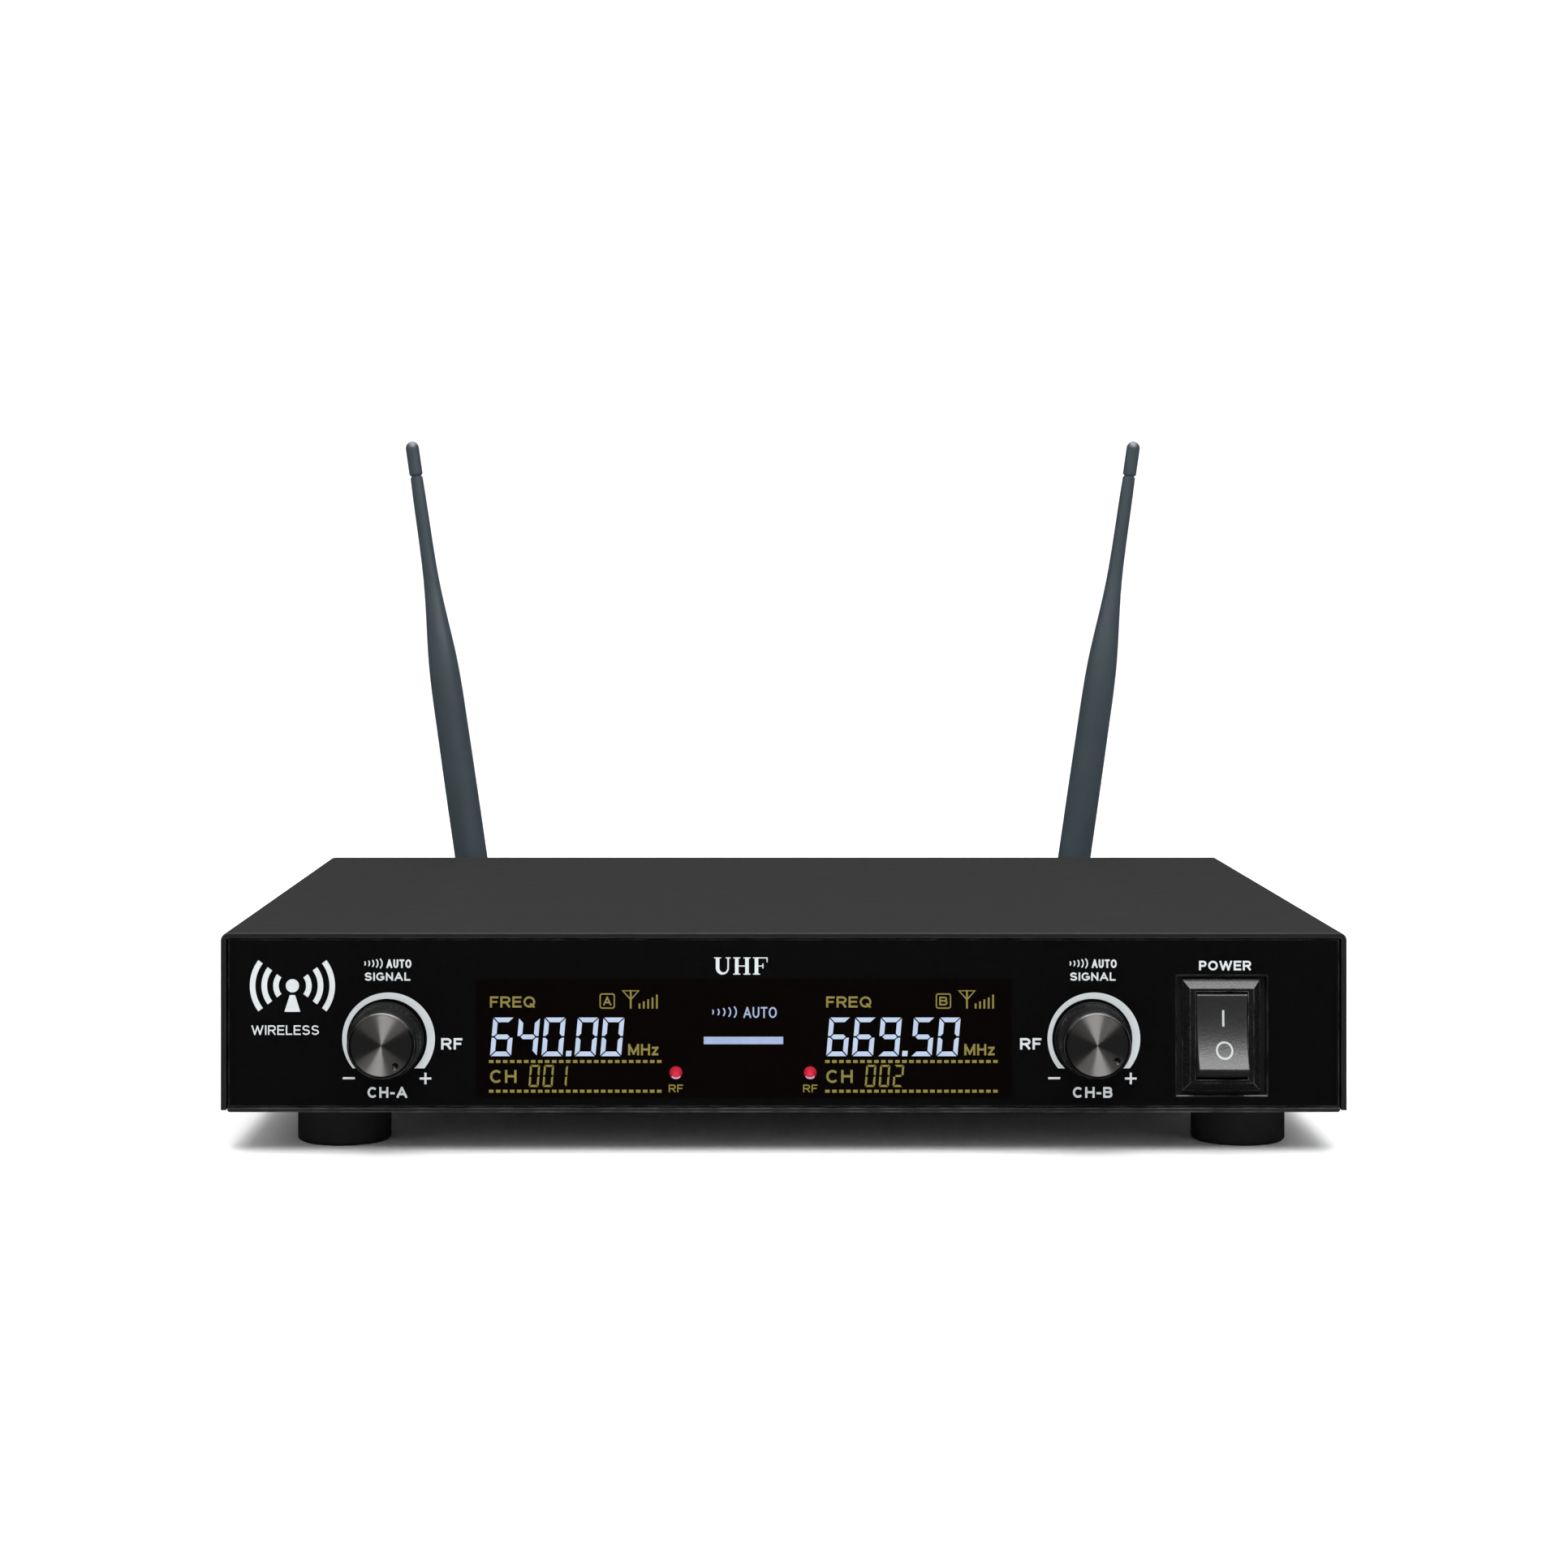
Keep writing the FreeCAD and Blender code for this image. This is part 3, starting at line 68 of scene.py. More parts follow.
def srgb(red, green, blue):
    """Linear colour of an sRGB colour given from 0 to 255."""
    def linear(value):
        value /= 255
        return value / 12.92 if value <= 0.04045 else ((value + 0.055) / 1.055) ** 2.4

    return (linear(red), linear(green), linear(blue), 1.0)


def scaled(colour, factor):
    """A colour made lighter or darker."""
    return tuple(min(1.0, c * factor) for c in colour[:3]) + (1.0,)


class Graph:
    """Short ways to add nodes to one material."""

    def __init__(self, name):
        self.material = bpy.data.materials.new(name)
        self.material.use_nodes = True
        self.nodes = self.material.node_tree.nodes
        self.links = self.material.node_tree.links
        self.shader = self.nodes["Principled BSDF"]
        self.place = self.nodes.new("ShaderNodeTexCoord").outputs["Object"]

    def add(self, kind, **settings):
        node = self.nodes.new(kind)
        for key, value in settings.items():
            setattr(node, key, value)
        return node

    def join(self, output, target):
        self.links.new(output, target)

    def noise(self, per_metre, detail=3.0, stretch=(1, 1, 1)):
        """Noise from 0 to 1 with per_metre features in a metre. A stretch under 1 draws it out that way."""
        scale = self.add("ShaderNodeVectorMath", operation="MULTIPLY")
        self.join(self.place, scale.inputs[0])
        scale.inputs[1].default_value = stretch
        noise = self.add("ShaderNodeTexNoise")
        self.join(scale.outputs[0], noise.inputs["Vector"])
        noise.inputs["Scale"].default_value = per_metre
        noise.inputs["Detail"].default_value = detail
        noise.inputs["Roughness"].default_value = 0.55
        return noise.outputs["Fac"]

    def ranged(self, value, low, high, from_low=0.0, from_high=1.0):
        """A value moved from one range to another, clamped."""
        node = self.add("ShaderNodeMapRange")
        self.join(value, node.inputs["Value"])
        limits = {"From Min": from_low, "From Max": from_high, "To Min": low, "To Max": high}
        for key, number in limits.items():
            node.inputs[key].default_value = number
        return node.outputs["Result"]

    def mixed(self, factor, low_colour, high_colour):
        """One colour turning into another as the factor rises. Either may be a colour or an output."""
        node = self.add("ShaderNodeMix", data_type="RGBA")
        self.join(factor, node.inputs["Factor"])
        for key, colour in (("A", low_colour), ("B", high_colour)):
            socket = next(s for s in node.inputs if s.name == key and s.type == "RGBA")
            if isinstance(colour, tuple):
                socket.default_value = colour
            else:
                self.join(colour, socket)
        return next(s for s in node.outputs if s.type == "RGBA")

    def math(self, operation, first, second):
        """Arithmetic on two values, each a number or an output."""
        node = self.add("ShaderNodeMath", operation=operation)
        for socket, value in zip(node.inputs, (first, second)):
            if isinstance(value, (int, float)):
                socket.default_value = value
            else:
                self.join(value, socket)
        return node.outputs[0]

    def edges(self, reach):
        """From 0 on flat stretches to 1 at edges and corners, within reach metres of them."""
        bevel = self.add("ShaderNodeBevel", samples=4)
        bevel.inputs["Radius"].default_value = reach
        geometry = self.add("ShaderNodeNewGeometry")
        dot = self.add("ShaderNodeVectorMath", operation="DOT_PRODUCT")
        self.join(bevel.outputs[0], dot.inputs[0])
        self.join(geometry.outputs["Normal"], dot.inputs[1])
        return self.ranged(dot.outputs["Value"], 1.0, 0.0, EDGE_COSINE, FLAT_COSINE)

    def bump(self, height, depth):
        """Normal output for a height from 0 to 1 that stands depth metres high."""
        node = self.add("ShaderNodeBump")
        node.inputs["Distance"].default_value = depth
        self.join(height, node.inputs["Height"])
        return node.outputs[0]


def finish_material(
    name, colour, roughness, metallic=0.0, specular=0.5, mottle=0.12, mottle_scale=45.0, rough_spread=0.06,
    grain_scale=1500.0, grain_depth=0.000012, grain_stretch=(1, 1, 1), edge_wear_and_highlight=None, edge_wear_and_highlight_reach=0.0004,
):
    """Painted, moulded or metal surface: slow colour variation, uneven gloss, fine grain and paler edges."""
    graph = Graph(name)
    shader = graph.shader
    slow = graph.noise(mottle_scale, detail=4.0)
    body = graph.mixed(slow, scaled(colour, 1 - mottle), scaled(colour, 1 + mottle))
    # Paler edges: wear on the metals and the antenna, and a painted highlight along the edges of the cover
    # and of the knob and switch plastics.
    if edge_wear_and_highlight is not None:
        edges = graph.edges(edge_wear_and_highlight_reach)
        patches = graph.ranged(graph.noise(260.0), 0.15, 1.0, 0.4, 0.65)
        body = graph.mixed(graph.math("MULTIPLY", edges, patches), body, edge_wear_and_highlight)
    graph.join(body, shader.inputs["Base Color"])
    uneven = graph.noise(mottle_scale * 4.1, detail=5.0)
    gloss = graph.ranged(uneven, roughness - rough_spread, roughness + rough_spread, 0.3, 0.7)
    graph.join(gloss, shader.inputs["Roughness"])
    grain = graph.noise(grain_scale, detail=2.0, stretch=grain_stretch)
    graph.join(graph.bump(grain, grain_depth), shader.inputs["Normal"])
    shader.inputs["Metallic"].default_value = metallic
    shader.inputs["Specular IOR Level"].default_value = specular
    return graph.material


def glowing(name, colour, strength=1.0):
    """Lit mark whose brightness varies a little from place to place, as backlit marks do."""
    graph = Graph(name)
    shader = graph.shader
    shader.inputs["Base Color"].default_value = grey(0.02)
    shader.inputs["Roughness"].default_value = 0.35
    uneven = graph.noise(420.0, detail=2.0)
    light = graph.mixed(uneven, scaled(colour, 0.82), scaled(colour, 1.12))
    graph.join(light, shader.inputs["Emission Color"])
    shader.inputs["Emission Strength"].default_value = strength
    return graph.material


# Shares of a knob cap's thickness and width that tell its near-black pit from its face and from its rim,
# darkened as painted shade
PIT_DEPTH = 0.03
PIT_REACH = 0.44
SHADED_RIM_REACH = 0.468


def spun_metal(name, colour):
    """Lathe-turned cap with a near-black pit and a painted-shade rim: fine rings about its middle, gloss
    drawn across them.
    """
    graph = Graph(name)
    shader = graph.shader
    centred = graph.add("ShaderNodeVectorMath", operation="SUBTRACT")
    graph.join(graph.add("ShaderNodeTexCoord").outputs["Generated"], centred.inputs[0])
    centred.inputs[1].default_value = (0.5, 0.0, 0.5)
    parts = graph.add("ShaderNodeSeparateXYZ")
    graph.join(centred.outputs[0], parts.inputs[0])
    flat = graph.add("ShaderNodeCombineXYZ")
    graph.join(parts.outputs["X"], flat.inputs["X"])
    graph.join(parts.outputs["Z"], flat.inputs["Z"])
    radius = graph.add("ShaderNodeVectorMath", operation="LENGTH")
    graph.join(flat.outputs[0], radius.inputs[0])
    rings = graph.add("ShaderNodeTexNoise", noise_dimensions="1D")
    rings.inputs["Scale"].default_value = 210.0
    rings.inputs["Detail"].default_value = 4.0
    graph.join(radius.outputs["Value"], rings.inputs["W"])
    face = graph.mixed(rings.outputs["Fac"], scaled(colour, 0.85), scaled(colour, 1.15))
    # Painted shade: the rim's metal is darkened to a quarter, to dim the highlight its edge catches.
    rim = graph.math("GREATER_THAN", radius.outputs["Value"], SHADED_RIM_REACH)
    metal = graph.mixed(rim, face, scaled(colour, 0.25))
    # The pit is coloured near-black and is not metallic.
    pit = graph.math(
        "MULTIPLY", graph.math("GREATER_THAN", parts.outputs["Y"], PIT_DEPTH),
        graph.math("LESS_THAN", radius.outputs["Value"], PIT_REACH),
    )
    graph.join(graph.mixed(pit, metal, grey(0.002)), shader.inputs["Base Color"])
    graph.join(graph.math("SUBTRACT", 1.0, pit), shader.inputs["Metallic"])
    graph.join(graph.ranged(rings.outputs["Fac"], 0.30, 0.36, 0.3, 0.7), shader.inputs["Roughness"])
    graph.join(graph.bump(rings.outputs["Fac"], 0.000004), shader.inputs["Normal"])
    tangent = graph.add("ShaderNodeTangent", direction_type="RADIAL", axis="Y")
    graph.join(tangent.outputs[0], shader.inputs["Tangent"])
    shader.inputs["Anisotropic"].default_value = 1.0
    shader.inputs["Anisotropic Rotation"].default_value = 0.25
    return graph.material


# ---------------------------------------------------------------- materials of the CAD nodes
def cover_paint():
    """Black powder coat, very fine orange peel, paler at the bends: partly rubbed, partly a painted
    highlight.
    """
    return finish_material(
        "cover_paint", (0.0075, 0.0073, 0.0070, 1.0), 0.52, specular=0.16, mottle=0.06, rough_spread=0.015,
        grain_scale=1900.0, grain_depth=0.00001, edge_wear_and_highlight=(0.045, 0.045, 0.043, 1.0), edge_wear_and_highlight_reach=0.00018,
    )


def chassis_paint():
    """Satin black paint on folded steel."""
    return finish_material(
        "chassis_paint", grey(0.009), 0.42, specular=0.3, grain_scale=1300.0, edge_wear_and_highlight=grey(0.10),
    )


# Gloss of the acrylic front, the same where the displays tint it
ACRYLIC_ROUGHNESS = (0.06, 0.12)
ACRYLIC_SPECULAR = 0.32


def black_acrylic():
    """Polished black sheet, slightly wavy, with faint dust and a painted highlight along its sawn edges."""
    graph = Graph("black_acrylic")
    shader = graph.shader
    dust = graph.ranged(graph.noise(2600.0, detail=1.0), 0.0, 1.0, 0.74, 0.80)
    body = graph.mixed(dust, (0.0017, 0.0017, 0.0018, 1.0), grey(0.008))
    # Painted highlight: a pale, patchy line along the sheet's edges.
    edges = graph.edges(0.00028)
    painted_edge_highlight = graph.math("MULTIPLY", edges, graph.ranged(graph.noise(330.0, detail=4.0), 0.15, 1.0, 0.38, 0.66))
    graph.join(graph.mixed(painted_edge_highlight, body, (0.065, 0.064, 0.062, 1.0)), shader.inputs["Base Color"])
    gloss = graph.ranged(graph.noise(70.0, detail=5.0), *ACRYLIC_ROUGHNESS, 0.35, 0.65)
    graph.join(gloss, shader.inputs["Roughness"])
    graph.join(graph.bump(graph.noise(30.0, detail=1.0), 0.00001), shader.inputs["Normal"])
    shader.inputs["Specular IOR Level"].default_value = ACRYLIC_SPECULAR
    return graph.material


def display_tint():
    """Brownish black of the display windows, deeper than the sheet around them."""
    graph = Graph("display_tint")
    shader = graph.shader
    uneven = graph.noise(160.0, detail=3.0)
    tint = graph.mixed(uneven, (0.0010, 0.0005, 0.0004, 1.0), (0.0017, 0.0008, 0.0006, 1.0))
    graph.join(tint, shader.inputs["Base Color"])
    graph.join(graph.ranged(uneven, *ACRYLIC_ROUGHNESS, 0.35, 0.65), shader.inputs["Roughness"])
    shader.inputs["Specular IOR Level"].default_value = ACRYLIC_SPECULAR
    return graph.material


def lamp_red():
    """Lit red lamp body."""
    graph = Graph("lamp_red")
    shader = graph.shader
    uneven = graph.noise(900.0, detail=2.0)
    lens = graph.mixed(uneven, (0.38, 0.012, 0.03, 1.0), (0.52, 0.025, 0.05, 1.0))
    light = graph.mixed(uneven, srgb(196, 32, 56), srgb(218, 44, 68))
    graph.join(lens, shader.inputs["Base Color"])
    graph.join(light, shader.inputs["Emission Color"])
    shader.inputs["Emission Strength"].default_value = 0.62
    shader.inputs["Roughness"].default_value = 0.18
    return graph.material


def circuit_board():
    """Green solder mask with faint copper tracks under it."""
    graph = Graph("circuit_board")
    shader = graph.shader
    tracks = graph.add("ShaderNodeTexBrick", offset=0.5)
    graph.join(graph.place, tracks.inputs["Vector"])
    tracks.inputs["Scale"].default_value = 160.0
    tracks.inputs["Mortar Size"].default_value = 0.03
    tracks.inputs["Color1"].default_value = (0.008, 0.07, 0.025, 1.0)
    tracks.inputs["Color2"].default_value = (0.010, 0.085, 0.03, 1.0)
    tracks.inputs["Mortar"].default_value = (0.02, 0.14, 0.05, 1.0)
    graph.join(tracks.outputs["Color"], shader.inputs["Base Color"])
    graph.join(graph.ranged(graph.noise(120.0), 0.25, 0.4), shader.inputs["Roughness"])
    graph.join(graph.bump(tracks.outputs["Fac"], 0.00002), shader.inputs["Normal"])
    return graph.material


def antenna_sleeve():
    """Slate rubber sleeve: soft sheen, faint lengthwise streaks from moulding."""
    return finish_material(
        "antenna_sleeve", srgb(44, 56, 62), 0.38, specular=1.0, mottle=0.10, mottle_scale=90.0,
        rough_spread=0.04, grain_scale=700.0, grain_depth=0.00001, grain_stretch=(1, 1, 0.12),
        edge_wear_and_highlight=srgb(52, 64, 70),
    )


def display_glass():
    """Dark glass of a display that is lit from behind, seen only from inside the cabinet."""
    return finish_material(
        "display_glass", (0.01, 0.012, 0.014, 1.0), 0.12, mottle=0.2, grain_depth=0.000002,
    )


# Settings of finish_material for each of the other material slots
PLAIN_FINISHES = {
    "foot_rubber": dict(
        colour=(0.010, 0.0098, 0.0096, 1.0), roughness=0.78, specular=0.25, grain_scale=3500.0,
        grain_depth=0.00006, edge_wear_and_highlight=(0.035, 0.035, 0.034, 1.0),
    ),
    # Painted highlight: the pale edges of the knob plastic draw thin light rings.
    "knob_plastic": dict(
        colour=(0.0026, 0.0026, 0.0028, 1.0), roughness=0.55, specular=0.06, grain_scale=1400.0,
        grain_depth=0.000008, edge_wear_and_highlight=(0.09, 0.09, 0.088, 1.0), edge_wear_and_highlight_reach=0.0002,
    ),
    # Painted highlight: the pale edges of the switch plastic draw thin light lines on its bezel.
    "switch_plastic": dict(
        colour=(0.0045, 0.0045, 0.0047, 1.0), roughness=0.27, specular=0.62, mottle=0.25,
        mottle_scale=1500.0, rough_spread=0.08, grain_scale=5000.0, grain_depth=0.00003,
        edge_wear_and_highlight=(0.20, 0.20, 0.195, 1.0), edge_wear_and_highlight_reach=0.00018,
    ),
    "rocker_plastic": dict(
        colour=(0.014, 0.014, 0.0144, 1.0), roughness=0.37, specular=0.85, mottle=0.5,
        mottle_scale=2200.0, rough_spread=0.10, grain_scale=3800.0, grain_depth=0.00005,
    ),
    "plug_plastic": dict(
        colour=(0.012, 0.012, 0.013, 1.0), roughness=0.4, specular=0.45, grain_scale=1300.0,
        grain_depth=0.000015, edge_wear_and_highlight=grey(0.05),
    ),
    "component_black": dict(colour=grey(0.015), roughness=0.5, grain_depth=0.00003),
    "capacitor_sleeve": dict(colour=(0.012, 0.02, 0.07, 1.0), roughness=0.25, grain_depth=0.000008),
    "connector_cream": dict(colour=(0.5, 0.46, 0.36, 1.0), roughness=0.45, grain_depth=0.00001),
    "cable_grey": dict(colour=(0.25, 0.25, 0.26, 1.0), roughness=0.5, grain_depth=0.00001),
    "diffuser": dict(colour=(0.7, 0.71, 0.73, 1.0), roughness=0.5, grain_depth=0.00001),
    "nickel": dict(
        colour=(0.55, 0.54, 0.51, 1.0), roughness=0.22, metallic=1.0, mottle=0.08,
        rough_spread=0.07, grain_scale=900.0, grain_depth=0.000004, edge_wear_and_highlight=(0.75, 0.73, 0.68, 1.0),
        edge_wear_and_highlight_reach=0.0002,
    ),
    "pot_shell": dict(
        colour=(0.45, 0.45, 0.46, 1.0), roughness=0.32, metallic=1.0, grain_depth=0.000006,
    ),
    "pot_shaft": dict(colour=grey(0.5), roughness=0.26, metallic=1.0, grain_depth=0.000004),
    "shield_tin": dict(
        colour=(0.6, 0.6, 0.58, 1.0), roughness=0.3, metallic=1.0, mottle=0.15, grain_depth=0.00001,
    ),
    "zinc_screw": dict(
        colour=(0.42, 0.42, 0.41, 1.0), roughness=0.34, metallic=1.0, grain_depth=0.000008,
        edge_wear_and_highlight=(0.7, 0.7, 0.68, 1.0), edge_wear_and_highlight_reach=0.00015,
    ),
    "black_screw": dict(
        colour=(0.035, 0.035, 0.037, 1.0), roughness=0.35, metallic=0.8, grain_depth=0.000008,
        edge_wear_and_highlight=(0.30, 0.29, 0.28, 1.0), edge_wear_and_highlight_reach=0.00015,
    ),
    "terminal_brass": dict(
        colour=(0.70, 0.50, 0.20, 1.0), roughness=0.3, metallic=1.0, grain_depth=0.000005,
    ),
    "standoff_brass": dict(
        colour=(0.66, 0.47, 0.19, 1.0), roughness=0.28, metallic=1.0, grain_depth=0.000005,
    ),
    "heatsink_alu": dict(
        colour=(0.06, 0.06, 0.062, 1.0), roughness=0.42, metallic=0.9, grain_depth=0.00001,
    ),
    "contact_gold": dict(
        colour=(0.83, 0.60, 0.24, 1.0), roughness=0.2, metallic=1.0, grain_depth=0.000003,
    ),
}
# Material slots whose finish has a function of its own
SPECIAL_FINISHES = {
    "cover_paint": cover_paint,
    "chassis_paint": chassis_paint,
    "acrylic": black_acrylic,
    "knob_face": lambda: spun_metal("knob_face", (0.47, 0.455, 0.44, 1.0)),
    "lcd_glass": display_glass,
    "lamp_red": lamp_red,
    "circuit_board": circuit_board,
    "mast_rubber": antenna_sleeve,
}


def dress_nodes():
    """Gives every CAD node the finish of its material slot."""
    made = {}
    for row in frame["record"]["subparts"]:
        slot = row["material_slot"]
        if slot not in made:
            if slot in SPECIAL_FINISHES:
                made[slot] = SPECIAL_FINISHES[slot]()
            else:
                made[slot] = finish_material(slot, **PLAIN_FINISHES[slot])
        materials = frame["nodes"][row["node"]].data.materials
        materials.clear()
        materials.append(made[slot])


# ---------------------------------------------------------------- printed and lit marks
# Millimetres that marks stand proud, the hair by which the heights of neighbouring marks differ, and the
# number of marks after which the heights repeat
INK = 0.02
LAYER = 0.002
LAYERS = 5
# Room between letters as a share of their height, and how far a sharp corner of a line may reach out
LETTER_GAP = 0.17
SHARPEST = 0.6


def on_front(u, v, out):
    """Point on the acrylic's face. u and v are in millimetres from its middle, and out is towards -Y."""
    return Vector((u * MM, FRONT_LO.y - out * MM, FRONT_MID_Z + v * MM))


def on_rear(u, v, out):
    """Point on the rear panel, as seen from behind."""
    return Vector((-u * MM, REAR_FACE_Y + out * MM, FRONT_MID_Z + v * MM))


def arc_points(u, v, across, up, start, end, steps):
    """Points of an ellipse's arc. Angles are in degrees, anticlockwise from the right."""
    angles = [math.radians(start + (end - start) * k / steps) for k in range(steps + 1)]
    return [(u + across * math.cos(a), v + up * math.sin(a)) for a in angles]


class Marks:
    """Thin solid marks of one colour on one face, gathered into one piece."""

    def __init__(self, name, face=on_front, low=0.0, high=INK):
        self.name, self.face, self.low, self.high = name, face, low, high
        self.mesh = bmesh.new()
        self.count = 0

    def top(self):
        """Height of the next mark. Neighbours differ by a hair, so tops that cross never lie in one plane."""
        self.count += 1
        return self.high + LAYER * (self.count % LAYERS)

    def band(self, edges, closed=False):
        """Solid band with four long edges, each a row of (u, v, out) points, in order round its section."""
        rows = [[self.mesh.verts.new(self.face(*point)) for point in edge] for edge in edges]
        count = len(rows[0])
        for k in range(count if closed else count - 1):
            after = (k + 1) % count
            for row, beside in zip(rows, rows[1:] + rows[:1]):
                self.mesh.faces.new((row[k], row[after], beside[after], beside[k]))
        if not closed:
            self.mesh.faces.new([row[0] for row in rows])
            self.mesh.faces.new([row[-1] for row in rows][::-1])

    def strip(self, left, right, closed=False):
        """Flat band between two matching rows of (u, v) points."""
        top = self.top()
        corners = ((left, top), (right, top), (right, self.low), (left, self.low))
        self.band([[(u, v, out) for u, v in row] for row, out in corners], closed)

    def shape(self, outline):
        """Closed thin prism over an outline of (u, v) points."""
        height = self.top()
        bottom = [self.mesh.verts.new(self.face(u, v, self.low)) for u, v in outline]
        top = [self.mesh.verts.new(self.face(u, v, height)) for u, v in outline]
        self.mesh.faces.new(top)
        self.mesh.faces.new(bottom[::-1])
        for k in range(len(outline)):
            after = (k + 1) % len(outline)
            self.mesh.faces.new((bottom[k], bottom[after], top[after], top[k]))

    def bar(self, u0, u1, v0, v1):
        """Upright rectangle."""
        self.shape([(u0, v0), (u1, v0), (u1, v1), (u0, v1)])

    def disc(self, u, v, radius, steps=40):
        """Filled circle."""
        self.shape(arc_points(u, v, radius, radius, 0, 360, steps)[:-1])

    def trace(self, path, width, closed=False):
        """Line of an even width along a path, with square ends."""
        points = [Vector(p) for p in path]
        half = width / 2
        if closed:
            points = points[:-1]
        else:
            points[0] += (points[0] - points[1]).normalized() * half
            points[-1] += (points[-1] - points[-2]).normalized() * half
        count = len(points)
        left, right = [], []
        for k, point in enumerate(points):
            before = points[k - 1] if closed or k else None
            after = points[(k + 1) % count] if closed or k < count - 1 else None
            steps = [b - a for a, b in ((before, point), (point, after)) if a is not None and b is not None]
            sides = [Vector((-step.y, step.x)).normalized() for step in steps]
            middle = sum(sides, Vector((0, 0))).normalized()
            offset = middle * half / max(SHARPEST, middle.dot(sides[0]))
            left.append(tuple(point + offset))
            right.append(tuple(point - offset))
        self.strip(left, right, closed)

    def ring(self, u, v, radius, width, start, end, steps):
        """Band of an even width along an arc. Angles are anticlockwise from the right."""
        closed = abs(end - start) > 359.9
        inner = arc_points(u, v, radius - width / 2, radius - width / 2, start, end, steps)
        outer = arc_points(u, v, radius + width / 2, radius + width / 2, start, end, steps)
        if closed:
            inner, outer = inner[:-1], outer[:-1]
        self.strip(inner, outer, closed)

    def words(self, text, u0, u1, v0, v1, weight=0.20):
        """Line of plain sans letters that fills a box. Their strokes' width is weight times their height."""
        height = v1 - v0
        width = weight * height
        total = sum(GLYPHS[c][0] for c in text) + LETTER_GAP * (len(text) - 1)
        stretch = (u1 - u0) / total
        u = u0
        for character in text:
            room, paths = GLYPHS[character]
            inner_w, inner_h = max(room * stretch - width, 0), height - width
            for path in paths:
                points = [(u + width / 2 + x * inner_w, v0 + width / 2 + y * inner_h) for x, y in path]
                closed = path[0] == path[-1] and len(path) > 4
                self.trace(points, width, closed)
            u += (room + LETTER_GAP) * stretch

    def piece(self, material, body="receiver"):
        """The marks as one object that moves with a body."""
        data = bpy.data.meshes.new(self.name)
        bmesh.ops.recalc_face_normals(self.mesh, faces=self.mesh.faces)
        self.mesh.to_mesh(data)
        self.mesh.free()
        data.materials.append(material)
        made = bpy.data.objects.new(self.name, data)
        bpy.context.scene.collection.objects.link(made)
        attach(made, body)


def capitals():
    """Plain sans letters: the width of each as a share of its height, and the middle lines of its strokes."""
    def bow(x, y, across, up, start, end, steps=14):
        return arc_points(x, y, across, up, start, end, steps)

    loop = bow(0.5, 0.5, 0.5, 0.5, 0, 360, 28)
    loop[-1] = loop[0]
    stem, far_stem = [(0, 0), (0, 1)], [(1, 0), (1, 1)]
    bowl = [(0, 1), (0.6, 1)] + bow(0.6, 0.73, 0.4, 0.27, 90, -90)[1:] + [(0, 0.46)]
    return {
        "A": (0.98, [[(0, 0), (0.5, 1)], [(0.5, 1), (1, 0)], [(0.22, 0.3), (0.78, 0.3)]]),
        "B": (0.82, [
            [(0, 1), (0.62, 1)] + bow(0.62, 0.765, 0.32, 0.235, 90, -90)[1:] + [(0, 0.53)],
            [(0, 0.53), (0.64, 0.53)] + bow(0.64, 0.265, 0.36, 0.265, 90, -90)[1:] + [(0, 0)],
            stem,
        ]),
        "C": (0.92, [bow(0.5, 0.5, 0.5, 0.5, 56, 304, 22)]),
        "D": (0.88, [stem, [(0, 1), (0.45, 1)] + bow(0.45, 0.5, 0.55, 0.5, 90, -90)[1:] + [(0, 0)]]),
        "E": (0.78, [[(1, 1), (0, 1), (0, 0), (1, 0)], [(0, 0.52), (0.9, 0.52)]]),
        "F": (0.72, [[(1, 1), (0, 1), (0, 0)], [(0, 0.5), (0.84, 0.5)]]),
        "G": (0.96, [bow(0.5, 0.5, 0.5, 0.5, 54, 312, 22) + [(1, 0.18), (1, 0.46), (0.66, 0.46)]]),
        "H": (0.84, [stem, far_stem, [(0, 0.52), (1, 0.52)]]),
        "I": (0.17, [[(0.5, 0), (0.5, 1)]]),
        "L": (0.70, [[(0, 1), (0, 0), (1, 0)]]),
        "M": (1.02, [stem, far_stem, [(0.04, 0.94), (0.5, 0.08)], [(0.5, 0.08), (0.96, 0.94)]]),
        "N": (0.84, [stem, far_stem, [(0.03, 0.94), (0.97, 0.06)]]),
        "O": (1.00, [loop]),
        "P": (0.78, [stem, bowl]),
        "Q": (1.00, [loop, [(0.66, 0.26), (0.95, -0.02)]]),
        "R": (0.86, [stem, bowl, [(0.55, 0.46), (0.96, 0)]]),
        "S": (0.84, [bow(0.5, 0.755, 0.46, 0.245, 35, 270) + bow(0.5, 0.255, 0.5, 0.255, 90, -145)[1:]]),
        "T": (0.82, [[(0, 1), (1, 1)], [(0.5, 1), (0.5, 0)]]),
        "U": (0.84, [[(0, 1)] + bow(0.5, 0.4, 0.5, 0.4, 180, 360) + [(1, 1)]]),
        "W": (1.32, [
            [(0, 1), (0.25, 0)], [(0.25, 0), (0.5, 0.96)], [(0.5, 0.96), (0.75, 0)], [(0.75, 0), (1, 1)],
        ]),
        "X": (0.92, [[(0, 1), (1, 0)], [(0, 0), (1, 1)]]),
        "z": (0.60, [[(0, 0.70), (1, 0.70)], [(1, 0.70), (0, 0)], [(0, 0), (1, 0)]]),
        "-": (0.42, [[(0, 0.4), (1, 0.4)]]),
        " ": (0.30, []),
    }


GLYPHS = capitals()
